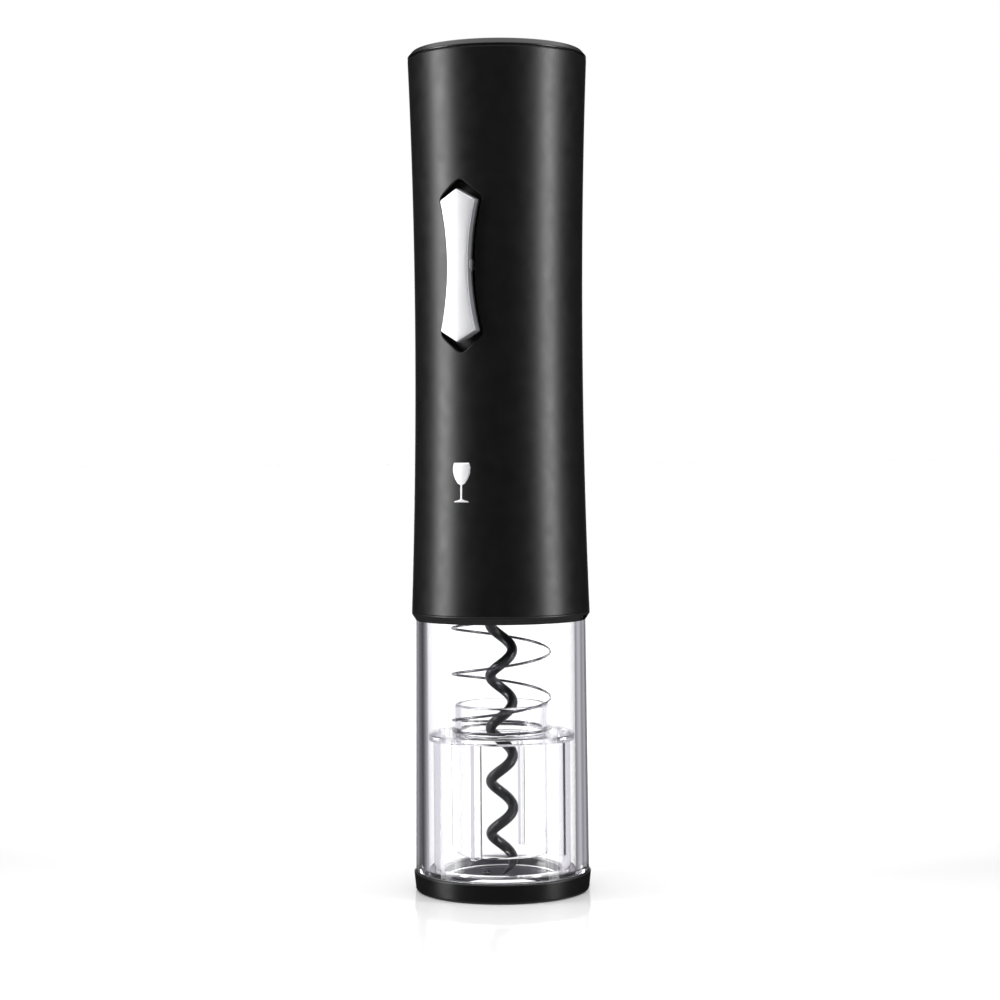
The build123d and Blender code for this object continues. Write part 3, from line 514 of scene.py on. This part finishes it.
def shade_by_curve(piece):
    """Gives the outer wall's faces the exact normals of the housing's curve."""
    data = piece.data
    normals = [Vector(corner.vector) for corner in data.corner_normals]
    for polygon in data.polygons:
        centre = polygon.center
        if not HOUSING_LOW + END_BAND < centre.z < HOUSING_HIGH - END_BAND:
            continue
        if math.hypot(centre.x, centre.y) < housing_curve(centre.z)[0] - SKIN:
            continue
        for corner in polygon.loop_indices:
            spot = data.vertices[data.loops[corner].vertex_index].co
            outward = Vector((spot.x, spot.y, 0)).normalized()
            slope = housing_curve(min(max(spot.z, HOUSING_LOW), HOUSING_HIGH))[1]
            normals[corner] = (outward - Vector((0, 0, slope))).normalized()
    data.normals_split_custom_set(normals)


make_housing()


# ================================================================ cap, bezel, base ring
CAP_RIM_Z = 237.5 * MM
CAP_FLAT_R = 24.1 * MM
CAP_DOME = 0.5 * MM
CAP_DOME_STEPS = 12
CAP_SKIRT_R = 21.6 * MM
CAP_SKIRT_BORE = 19.6 * MM
CAP_STEM_R = 4.0 * MM
CAP_STEM_BORE = 2.1 * MM
CAP_STEM_Z = 234.2 * MM


def make_cap():
    """The slightly domed cap with its skirt, and the stem that holds the contact plate."""
    bottom, crown, edge_r = low("top_cap"), high("top_cap"), reach("top_cap")
    ceiling = CAP_RIM_Z - 0.5 * MM
    shares = [step / CAP_DOME_STEPS for step in range(CAP_DOME_STEPS)]
    dome = [(CAP_FLAT_R * share, crown - CAP_DOME * share ** 2) for share in shares]
    outline = dome + rounded([
        (CAP_FLAT_R, crown - CAP_DOME, 0.9 * MM),
        (edge_r, CAP_RIM_Z + 0.4 * MM, 0.5 * MM),
        (edge_r, CAP_RIM_Z, 0.12 * MM),
        (CAP_SKIRT_R, CAP_RIM_Z),
        (CAP_SKIRT_R, bottom, 0.3 * MM),
        (CAP_SKIRT_BORE, bottom, 0.3 * MM),
        (CAP_SKIRT_BORE, ceiling, 0.5 * MM),
        (CAP_STEM_R, ceiling),
        (CAP_STEM_R, CAP_STEM_Z),
        (CAP_STEM_BORE, CAP_STEM_Z),
        (CAP_STEM_BORE, ceiling),
        (0, ceiling),
    ])
    piece = weigh_normals(lathe("cap_cover", outline))
    place(piece, "cap", "black_cap", MATERIALS["black_cap"], "top_cap")


BEZEL_BORE = 22.75 * MM
# The bezel's lower edge meets the top of the shell's wall.
SHELL_TOP_R = 24.3 * MM
SLOT_ANGLES = (math.radians(9), math.radians(9) + math.pi)
SLOT_HALF = 2.5 * MM
SLOT_LOW, SLOT_HIGH = 77.9 * MM, 79.1 * MM


def make_bezel():
    """The chamfered ring, with two slots for the clear shell's tabs."""
    bottom, crown, edge_r = low("lower_bezel"), high("lower_bezel"), reach("lower_bezel")
    outline = rounded([
        (BEZEL_BORE, bottom),
        (SHELL_TOP_R, bottom, 0.15 * MM),
        (edge_r, crown - 0.4 * MM, 0.3 * MM),
        (edge_r, crown, 0.12 * MM),
        (BEZEL_BORE, crown),
    ])
    slots = [
        block("slot", (20 * MM, -SLOT_HALF, SLOT_LOW), (28 * MM, SLOT_HALF, SLOT_HIGH), angle)
        for angle in SLOT_ANGLES
    ]
    piece = weigh_normals(combine(lathe("bezel_ring", outline), slots, "DIFFERENCE"))
    place(piece, "chassis", "black_trim", MATERIALS["black_trim"], "lower_bezel")


WHEEL_ANGLES = [math.radians(45 + 90 * step) for step in range(4)]
WHEEL_OFFSET = 19.75 * MM
WHEEL_POCKET_R = 4.0 * MM
RING_FOOT_R = 24.3 * MM
RING_LOW_R = 24.9 * MM
PIN_HOLE_R = 0.81 * MM
SOCKET_R = 21.1 * MM
SOCKET_FLOOR = 3.4 * MM
MOUTH_R = 16.0 * MM
MOUTH_CHAMFER = 0.5 * MM


def make_base_ring():
    """The base ring with its socket, mouth and wheel pockets. It is black outside; inside it is a lighter
    grey, painted light standing in for the light and reflections that reach it through the clear shell.
    """
    crown, edge_r = high("foil_cutter_ring"), reach("foil_cutter_ring")
    outline = rounded([
        (MOUTH_R + MOUTH_CHAMFER, 0),
        (RING_FOOT_R, 0, 0.5 * MM),
        (RING_LOW_R, RING_LOW_R - RING_FOOT_R, 0.5 * MM),
        (edge_r, crown - 0.3 * MM, 0.3 * MM),
        (edge_r - 0.5 * MM, crown, 0.3 * MM),
        (SOCKET_R, crown, 0.15 * MM),
        (SOCKET_R, SOCKET_FLOOR),
        (MOUTH_R, SOCKET_FLOOR, 0.2 * MM),
        (MOUTH_R, MOUTH_CHAMFER, 0.2 * MM),
    ])
    cuts = []
    for angle in WHEEL_ANGLES:
        cuts.append(disc_at("pocket", WHEEL_POCKET_R, WHEEL_OFFSET, angle, 1.3 * MM, 2.5 * MM))
        cuts.append(disc_at("pin_hole", PIN_HOLE_R, WHEEL_OFFSET, angle, 0.6 * MM, 4.4 * MM))
    piece = weigh_normals(combine(lathe("base_ring", outline), cuts, "DIFFERENCE"))
    place(piece, "foil_cutter", "black_ring", MATERIALS["black_ring"], "foil_cutter_ring")
    # Painted light: the faces inside the socket get a lighter grey in place of the light and floor
    # reflections that reach them through the clear shell.
    piece.data.materials.append(moulded("painted_light_ring_inside", (0.2, 0.2, 0.23), 0.38))
    for polygon in piece.data.polygons:
        polygon.material_index = int(math.hypot(polygon.center.x, polygon.center.y) < SOCKET_R)


make_cap()
make_bezel()
make_base_ring()


# ================================================================ rocker button
BUTTON = (21.25 * MM, 18.1 * MM, 5.4 * MM, 3.15 * MM)
BUTTON_CORNER = 0.6 * MM
BUTTON_FACE_R = 26.4 * MM
BUTTON_BACK = 22.5 * MM
BUTTON_RIM = 0.45 * MM
RIM_STEPS = 5
BACK_BEVEL = 0.15 * MM
BOSS_HALF = 3.45 * MM
BOSS_R = 1.8 * MM
BOSS_Y = -23.5 * MM
# Polygons that look forward by more than this are the button's face. The others are its sides, which get a
# darker silver as painted shade.
FACE_FRONT = 0.8


def make_button():
    """The silver rocker: hourglass sides, a rounded rim and a face that follows the housing's round."""
    levels = [(BUTTON_BACK, BACK_BEVEL, True), (BUTTON_BACK + BACK_BEVEL, 0, True)]
    for step in range(RIM_STEPS + 1):
        angle = math.pi / 2 * step / RIM_STEPS
        depth = BUTTON_FACE_R - BUTTON_RIM * (1 - math.sin(angle))
        levels.append((depth, BUTTON_RIM * (1 - math.cos(angle)), False))
    mesh = bmesh.new()
    rings = []
    for depth, inset, flat in levels:
        outline = whole(half_outline(*BUTTON, inset), BUTTON_CORNER)
        ring = []
        for point in outline:
            spot = front_point(point.x, BUTTON_Z + point.y, depth)
            if flat:
                spot.y = -depth
            ring.append(mesh.verts.new(spot))
        rings.append(ring)
    bridge(mesh, rings)
    mesh.faces.new(rings[0])
    fill_face(mesh, rings[-1], BUTTON_FACE_R)
    piece = add_object("rocker_face", mesh)
    place(piece, "rocker", "silver_button", MATERIALS["silver_button"], "rocker_button")
    # Painted shade: the sides and the pivot boss get a darker silver, standing in for the shade of the black
    # recess round them.
    sides = satin_paint("satin_silver_painted_shade_sides", (0.3, 0.3, 0.32), 0.42)
    piece.data.materials.append(sides)
    for polygon in piece.data.polygons:
        polygon.material_index = int(polygon.normal.y > -FACE_FRONT)
    boss = lathe("rocker_boss", rounded([
        (0, -BOSS_HALF), (BOSS_R, -BOSS_HALF, 0.2 * MM), (BOSS_R, BOSS_HALF, 0.2 * MM), (0, BOSS_HALF),
    ]), SMALL_SEGMENTS)
    for vertex in boss.data.vertices:
        vertex.co = Vector((vertex.co.z, vertex.co.y + BOSS_Y, BUTTON_Z - vertex.co.x))
    place(boss, "rocker", "silver_button", sides)


FACE_COLUMNS = 8


def fill_face(mesh, ring, radius):
    """Closes a ring that is the same on both sides of x = 0 with rows of faces on a round surface."""
    half = len(ring) // 2
    rows = []
    for step in range(1, half):
        right, left = ring[step], ring[-step]
        inner = []
        for column in range(1, FACE_COLUMNS):
            x = right.co.x + (left.co.x - right.co.x) * column / FACE_COLUMNS
            inner.append(mesh.verts.new(front_point(x, right.co.z, radius)))
        rows.append([right] + inner + [left])
    for row, following in zip(rows, rows[1:]):
        for column in range(FACE_COLUMNS):
            mesh.faces.new((row[column], row[column + 1], following[column + 1], following[column]))
    for tip, row in ((ring[0], rows[0]), (ring[half], rows[-1])):
        for column in range(FACE_COLUMNS):
            mesh.faces.new((tip, row[column], row[column + 1]))


make_button()

# ================================================================ clear shell and cork guide
SHELL_BORE = 21.2 * MM
SHELL_PLUG_R = 21.0 * MM
SHELL_LIP_R = 16.5 * MM
SHELL_LIP_Z = 6.5 * MM
SHELL_FOOT_Z = 5.75 * MM
SHELL_TOP = 77.5 * MM
SPIGOT_R = 22.6 * MM
TAB_HALF = 2.2 * MM
TAB_LOW, TAB_HIGH = 78.1 * MM, 78.9 * MM


def make_clear_shell():
    """The clear tube: a plug in the base ring, a tapered wall, and a spigot with tabs in the bezel."""
    bottom, crown, foot_r = low("clear_shell"), high("clear_shell"), reach("clear_shell")
    outline = rounded([
        (SHELL_LIP_R, bottom),
        (SHELL_PLUG_R, bottom, 0.3 * MM),
        (SHELL_PLUG_R, SHELL_FOOT_Z),
        (foot_r, SHELL_FOOT_Z, 0.35 * MM),
        (SHELL_TOP_R, SHELL_TOP),
        (SPIGOT_R, SHELL_TOP),
        (SPIGOT_R, crown, 0.4 * MM),
        (SHELL_BORE, crown, 0.4 * MM),
        (SHELL_BORE, SHELL_LIP_Z, 0.4 * MM),
        (SHELL_LIP_R, SHELL_LIP_Z, 0.3 * MM),
    ])
    tabs = [
        block("tab", (22.1 * MM, -TAB_HALF, TAB_LOW), (23.7 * MM, TAB_HALF, TAB_HIGH), angle)
        for angle in SLOT_ANGLES
    ]
    piece = weigh_normals(combine(lathe("clear_tube", outline), tabs, "UNION"))
    place(piece, "chassis", "clear_plastic", MATERIALS["clear_plastic"], "clear_shell")


GUIDE_WEBS = 4
WEB_HALF = 0.6 * MM


def make_guide():
    """The cork guide: an inner tube and an outer drum that hang from a flange, joined by webs."""
    bottom, crown, flange_r = low("guide_sleeve"), high("guide_sleeve"), reach("guide_sleeve")
    roof, seat = 43.6 * MM, 45.3 * MM
    drum_r, skirt = 19.65 * MM, 17.4 * MM
    tube_low, tube_r, bore = 11.0 * MM, 13.5 * MM, 11.9 * MM
    outline = rounded([
        (skirt, bottom, 0.3 * MM),
        (drum_r, bottom, 0.4 * MM),
        (drum_r, roof, 0.2 * MM),
        (flange_r, roof, 0.3 * MM),
        (flange_r, seat, 0.3 * MM),
        (tube_r, seat, 0.3 * MM),
        (tube_r, crown, 0.7 * MM),
        (bore, crown, 0.4 * MM),
        (bore, tube_low, 0.5 * MM),
        (tube_r, tube_low, 0.3 * MM),
        (tube_r, roof, 0.3 * MM),
        (skirt, roof, 0.3 * MM),
    ])
    overlap = 0.3 * MM
    inner = (tube_r - overlap, -WEB_HALF, tube_low)
    outer = (skirt + overlap, WEB_HALF, roof + overlap)
    webs = [block("web", inner, outer, TURN * step / GUIDE_WEBS) for step in range(GUIDE_WEBS)]
    piece = weigh_normals(combine(lathe("cork_guide", outline), webs, "UNION"))
    place(piece, "guide", "clear_guide", MATERIALS["clear_guide"], "guide_sleeve")


make_clear_shell()
make_guide()

# ================================================================ worm and spring
WORM_PITCH = 15.0 * MM
WORM_MEAN_R = 3.15 * MM
WORM_WIRE_R = 1.5 * MM
WORM_TIP_ANGLE = math.radians(-62.8)
WORM_COIL_TOP = 78.8 * MM
WORM_POINT_TURNS = 0.45
WORM_POINT_WIDTH = 0.12
WORM_SIDES = 28
SHANK_R = 5.0 * MM
SHANK_LOW = 77.2 * MM
STEPS_PER_TURN = 72


def make_worm():
    """The coated worm: a right-handed helix of round wire, drawn out to a point."""
    tip_z = low("worm") + 0.25 * MM
    steps = round((WORM_COIL_TOP - tip_z) / WORM_PITCH * STEPS_PER_TURN)
    points, radii = [], []
    for step in range(steps + 1):
        turns = step / STEPS_PER_TURN
        angle = WORM_TIP_ANGLE + TURN * turns
        taper = min(1, turns / WORM_POINT_TURNS)
        width = WORM_POINT_WIDTH + (1 - WORM_POINT_WIDTH) * math.sin(taper * math.pi / 2) ** 0.85
        height = tip_z + turns * WORM_PITCH
        points.append(Vector((WORM_MEAN_R * math.cos(angle), WORM_MEAN_R * math.sin(angle), height)))
        radii.append(WORM_WIRE_R * width)
    piece = tube("worm_coil", points, radii, WORM_SIDES)
    place(piece, "output", "coated_worm", MATERIALS["coated_worm"], "worm")
    shank = lathe("worm_shank", rounded([
        (0, SHANK_LOW), (SHANK_R, SHANK_LOW, 0.8 * MM), (SHANK_R, high("worm")), (0, high("worm")),
    ]), DISC_SEGMENTS)
    place(shank, "output", "coated_worm", MATERIALS["coated_worm"])


SPRING_WIRE_R = 0.36 * MM
SPRING_R = 14.1 * MM
SPRING_END_TURNS = 1.1
SPRING_END_PITCH = 0.8 * MM
SPRING_PITCH = 13.2 * MM
SPRING_EASE = 0.2
SPRING_START = math.radians(79)
SPRING_SIDES = 14


def make_spring():
    """The guide's spring: open coils between two closed ends, built at one length with a mesh of its own. The
    real spring shortens as the guide rises.
    """
    bottom, crown = low("guide_spring"), high("guide_spring")
    height = bottom + SPRING_WIRE_R
    top_height = crown - SPRING_WIRE_R
    turns, points = 0.0, []
    while height < top_height:
        points.append(Vector((
            SPRING_R * math.cos(SPRING_START + TURN * turns),
            SPRING_R * math.sin(SPRING_START + TURN * turns),
            height,
        )))
        from_bottom = (turns - SPRING_END_TURNS) / SPRING_EASE
        from_top = (top_height - SPRING_END_TURNS * SPRING_END_PITCH - height) / (SPRING_EASE * SPRING_PITCH)
        open_share = max(0, min(1, from_bottom, from_top))
        pitch = SPRING_END_PITCH + (SPRING_PITCH - SPRING_END_PITCH) * open_share
        height += pitch / STEPS_PER_TURN
        turns += 1 / STEPS_PER_TURN
    piece = tube("spring_coil", points, [SPRING_WIRE_R] * len(points), SPRING_SIDES)
    place(piece, "chassis", "spring_steel", MATERIALS["spring_steel"], "guide_spring")
    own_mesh(piece)


make_worm()
make_spring()

# ================================================================ generic printed mark
MARK_Z = 117.0 * MM
MARK_HEIGHT = 11.0 * MM
MARK_THICK = 0.03 * MM
MARK_COLUMNS = 12
STEM_TOP = 4.8 * MM
BOWL_ROWS = 14


def make_mark():
    """A plain wine glass, printed in silver under the button."""
    bowl, stem, foot = 2.7 * MM, 0.28 * MM, 2.2 * MM
    bottom = MARK_Z - MARK_HEIGHT / 2
    rows = [(0, foot), (0.3 * MM, foot), (0.55 * MM, foot / 2), (0.9 * MM, stem), (STEM_TOP, stem)]
    for step in range(1, BOWL_ROWS + 1):
        share = step / BOWL_ROWS
        width = bowl * math.sin(math.pi * (0.04 + 0.66 * share)) ** 0.7
        rows.append((STEM_TOP + share * (MARK_HEIGHT - STEM_TOP), max(width, stem)))
    mesh = bmesh.new()
    grid = []
    for rise, half in rows:
        z = bottom + rise
        radius = housing_curve(z)[0] + MARK_THICK
        places = [half * (2 * column / MARK_COLUMNS - 1) for column in range(MARK_COLUMNS + 1)]
        grid.append([mesh.verts.new(front_point(x, z, radius)) for x in places])
    for row, following in zip(grid, grid[1:]):
        for column in range(MARK_COLUMNS):
            mesh.faces.new((row[column], row[column + 1], following[column + 1], following[column]))
    piece = add_object("glass_mark", mesh)
    sheet = piece.modifiers.new("thickness", "SOLIDIFY")
    sheet.thickness = MARK_THICK * 0.8
    sheet.offset = -1
    apply_modifiers(piece)
    place(piece, "chassis", "silver_button", MATERIALS["silver_button"])


make_mark()

# ================================================================ camera, floor and light
CAMERA_AZIMUTH = math.radians(26)
CAMERA_DISTANCE = 0.650
CAMERA_HEIGHT = 0.124
CAMERA_PITCH = math.radians(1.085)
CAMERA_ROLL = math.radians(-0.42)
CAMERA_LENS = 81.6


def towards(azimuth):
    """The level direction from the object to a viewer at this azimuth."""
    return Vector((math.sin(azimuth), -math.cos(azimuth), 0))


def make_camera():
    lens = bpy.data.cameras.new("camera")
    lens.lens = CAMERA_LENS
    lens.sensor_width = 36
    camera = bpy.data.objects.new("camera", lens)
    bpy.context.scene.collection.objects.link(camera)
    camera.location = towards(CAMERA_AZIMUTH) * CAMERA_DISTANCE + Vector((0, 0, CAMERA_HEIGHT))
    ahead = -towards(CAMERA_AZIMUTH) * math.cos(CAMERA_PITCH) - Vector((0, 0, math.sin(CAMERA_PITCH)))
    turn = ahead.to_track_quat("-Z", "Y") @ Quaternion((0, 0, 1), CAMERA_ROLL)
    camera.rotation_euler = turn.to_euler()
    bpy.context.scene.camera = camera


FLOOR_RADIUS = 40
MOUTH_FLOOR_RADIUS = 0.02
FLOOR_GLOSS = 0.2
GLOSS_FADES = (0.06, 0.25)


def floor_material():
    """White and nearly matt, with a weak reflection of the object that fades away from it."""
    material = new_material("white_floor", grey(0.95), 0.05)
    vary_roughness(material, texture(material, "ShaderNodeTexNoise", 8), 0.04, 0.07)
    tree = material.node_tree
    place_node = tree.nodes.new("ShaderNodeTexCoord")
    distance = tree.nodes.new("ShaderNodeVectorMath")
    distance.operation = "LENGTH"
    gloss = map_range(tree.nodes, FLOOR_GLOSS, 0, *GLOSS_FADES)
    tree.links.new(place_node.outputs["Object"], distance.inputs[0])
    tree.links.new(distance.outputs["Value"], gloss.inputs["Value"])
    tree.links.new(gloss.outputs["Result"], tree.nodes["Principled BSDF"].inputs["Specular IOR Level"])
    return material


def make_floor():
    """The floor. Gloss sees only the part in the bottle mouth, and round that the dim room."""
    material = floor_material()
    parts = (("mouth_floor", 0, MOUTH_FLOOR_RADIUS), ("floor", MOUTH_FLOOR_RADIUS, FLOOR_RADIUS))
    for name, inner, outer in parts:
        mesh = bmesh.new()
        rim = bmesh.ops.create_circle(mesh, segments=DISC_SEGMENTS, radius=outer)["verts"]
        if inner:
            hole = bmesh.ops.create_circle(mesh, segments=DISC_SEGMENTS, radius=inner)["verts"]
            bridge(mesh, [rim, hole])
        else:
            mesh.faces.new(rim)
        floor = add_object(name, mesh)
        floor.data.materials.append(material)
        floor.visible_glossy = not inner
        floor.visible_transmission = False


# Each soft box: its name, its azimuth from the camera's in degrees, its width and its power.
SOFT_BOXES = (("left_strip", -79, 0.32, 9.6), ("right_strip", 70, 0.26, 8.6))
BOX_DISTANCE = 0.9
BOX_HEIGHT = 0.16
BOX_TALL = 0.9
BOX_AIM = Vector((0, 0, 0.13))
SUN_POWER = 2.6
SUN_SPREAD = math.radians(100)


def make_light(name, azimuth, width, power):
    """An upright soft box that faces the object."""
    lamp = bpy.data.lights.new(name, "AREA")
    lamp.shape = "RECTANGLE"
    lamp.size = width
    lamp.size_y = BOX_TALL
    lamp.energy = power
    light = bpy.data.objects.new(name, lamp)
    bpy.context.scene.collection.objects.link(light)
    light.location = towards(azimuth) * BOX_DISTANCE + Vector((0, 0, BOX_HEIGHT))
    light.rotation_euler = (BOX_AIM - light.location).to_track_quat("-Z", "Y").to_euler()


def make_sun():
    """A broad overhead light, which whitens the floor."""
    lamp = bpy.data.lights.new("overhead", "SUN")
    lamp.energy = SUN_POWER
    lamp.angle = SUN_SPREAD
    light = bpy.data.objects.new("overhead", lamp)
    bpy.context.scene.collection.objects.link(light)


# What gloss sees: the room, a patch behind the object, and the ceiling and floor.
ROOM_LIGHT = 0.018
PATCH_LIGHT = 0.9
BACK_PATCH = (0.95, 0.985)
STEEP_LIGHT = 0.35
STEEP = (0.35, 0.75)
# What clear plastic sees: straight through, and after a reflection past more than DEEP_FACES faces.
THROUGH_LIGHT = 1.25
DEEP_LIGHT = 0.85
DEEP_FACES = 3
FRONT_LIGHT = 0.35
FRONT_TO_BACK = (-0.95, -0.5)
LAVENDER = (0.93, 0.91, 1.0, 1)
UPRIGHT_REPEATS = 4
# Where each upright stands, as a share of one repeat, and its light.
WALL_UPRIGHTS = [
    (0.00, 0.40), (0.10, 0.62), (0.20, 0.30), (0.34, 0.62), (0.42, 0.22),
    (0.52, 0.55), (0.62, 0.45), (0.70, 0.10), (0.86, 0.06), (0.93, 0.18), (1.00, 0.36),
]


def make_world():
    """A white studio. Gloss sees a dim room, so black stays black, with a bright patch behind the object
    and a lit ceiling and floor.
    Clear plastic sees white straight through. Where light reflects inside its outer wall it comes from
    dark and bright uprights round the room, four times over, and these draw the wall's bands."""
    world = bpy.data.worlds.new("studio")
    world.use_nodes = True
    bpy.context.scene.world = world
    tree = world.node_tree
    nodes, links = tree.nodes, tree.links
    background = nodes["Background"]
    place_node = nodes.new("ShaderNodeTexCoord")
    path = nodes.new("ShaderNodeLightPath")

    facing = nodes.new("ShaderNodeVectorMath")
    facing.operation = "DOT_PRODUCT"
    facing.inputs[1].default_value = -towards(CAMERA_AZIMUTH)
    links.new(place_node.outputs["Generated"], facing.inputs[0])
    room = map_range(nodes, ROOM_LIGHT, PATCH_LIGHT, *BACK_PATCH)
    room.interpolation_type = "SMOOTHSTEP"
    links.new(facing.outputs["Value"], room.inputs["Value"])
    direction = nodes.new("ShaderNodeSeparateXYZ")
    steepness = nodes.new("ShaderNodeMath")
    steepness.operation = "ABSOLUTE"
    steep = map_range(nodes, 0, STEEP_LIGHT, *STEEP)
    surroundings = nodes.new("ShaderNodeMath")
    surroundings.operation = "MAXIMUM"
    links.new(place_node.outputs["Generated"], direction.inputs["Vector"])
    links.new(direction.outputs["Z"], steepness.inputs[0])
    links.new(steepness.outputs["Value"], steep.inputs["Value"])
    links.new(room.outputs["Result"], surroundings.inputs[0])
    links.new(steep.outputs["Result"], surroundings.inputs[1])
    behind = map_range(nodes, FRONT_LIGHT, 1, *FRONT_TO_BACK)
    links.new(facing.outputs["Value"], behind.inputs["Value"])

    turned = nodes.new("ShaderNodeMapping")
    turned.inputs["Rotation"].default_value = (0, 0, -CAMERA_AZIMUTH)
    around = nodes.new("ShaderNodeTexGradient")
    around.gradient_type = "RADIAL"
    quarters = nodes.new("ShaderNodeMath")
    quarters.operation = "MULTIPLY_ADD"
    quarters.inputs[1].default_value = UPRIGHT_REPEATS
    quarters.inputs[2].default_value = 0.5
    share = nodes.new("ShaderNodeMath")
    share.operation = "FRACT"
    uprights = nodes.new("ShaderNodeValToRGB")
    stops = uprights.color_ramp.elements
    for _ in WALL_UPRIGHTS[2:]:
        stops.new(0.5)
    for stop, (position, light) in zip(stops, WALL_UPRIGHTS):
        stop.position = position
        stop.color = (light, light, light, 1)
    links.new(place_node.outputs["Generated"], turned.inputs["Vector"])
    links.new(turned.outputs["Vector"], around.inputs["Vector"])
    links.new(around.outputs["Fac"], quarters.inputs[0])
    links.new(quarters.outputs["Value"], share.inputs[0])
    links.new(share.outputs["Value"], uprights.inputs["Fac"])

    deep = nodes.new("ShaderNodeMath")
    deep.operation = "GREATER_THAN"
    deep.inputs[1].default_value = DEEP_FACES
    inside = nodes.new("ShaderNodeMix")
    inside.inputs["B"].default_value = DEEP_LIGHT
    lit = nodes.new("ShaderNodeMath")
    lit.operation = "MULTIPLY"
    links.new(path.outputs["Transmission Depth"], deep.inputs[0])
    links.new(deep.outputs["Value"], inside.inputs["Factor"])
    links.new(uprights.outputs["Color"], inside.inputs["A"])
    links.new(inside.outputs["Result"], lit.inputs[0])
    links.new(behind.outputs["Result"], lit.inputs[1])

    reflected = map_range(nodes, 0, 1)
    through = nodes.new("ShaderNodeMix")
    through.inputs["A"].default_value = THROUGH_LIGHT
    chosen = nodes.new("ShaderNodeMix")
    brightest = nodes.new("ShaderNodeMath")
    brightest.operation = "MAXIMUM"
    links.new(path.outputs["Glossy Depth"], reflected.inputs["Value"])
    links.new(reflected.outputs["Result"], through.inputs["Factor"])
    links.new(lit.outputs["Value"], through.inputs["B"])
    links.new(path.outputs["Is Transmission Ray"], chosen.inputs["Factor"])
    links.new(surroundings.outputs["Value"], chosen.inputs["A"])
    links.new(through.outputs["Result"], chosen.inputs["B"])
    links.new(chosen.outputs["Result"], brightest.inputs[0])
    links.new(path.outputs["Is Camera Ray"], brightest.inputs[1])
    links.new(brightest.outputs["Value"], background.inputs["Strength"])

    in_wall = nodes.new("ShaderNodeMath")
    in_wall.operation = "MULTIPLY"
    tint = nodes.new("ShaderNodeMix")
    tint.data_type = "RGBA"
    # A colour Mix takes its two colours at sockets 6 and 7 and gives its result at output 2.
    tint.inputs[6].default_value = (1, 1, 1, 1)
    tint.inputs[7].default_value = LAVENDER
    links.new(reflected.outputs["Result"], in_wall.inputs[0])
    links.new(path.outputs["Is Transmission Ray"], in_wall.inputs[1])
    links.new(in_wall.outputs["Value"], tint.inputs[0])
    links.new(tint.outputs[2], background.inputs["Color"])


# A ray through the shell, guide and webs and out behind crosses some 16 clear faces.
WALLS_IN_A_ROW = 24

make_camera()
make_floor()
make_world()
make_sun()
for name, azimuth, width, power in SOFT_BOXES:
    make_light(name, CAMERA_AZIMUTH + math.radians(azimuth), width, power)
bpy.context.scene.view_settings.view_transform = "Standard"
bpy.context.scene.cycles.max_bounces = WALLS_IN_A_ROW
bpy.context.scene.cycles.transmission_bounces = WALLS_IN_A_ROW
bpy.context.scene.cycles.glossy_bounces = WALLS_IN_A_ROW // 2
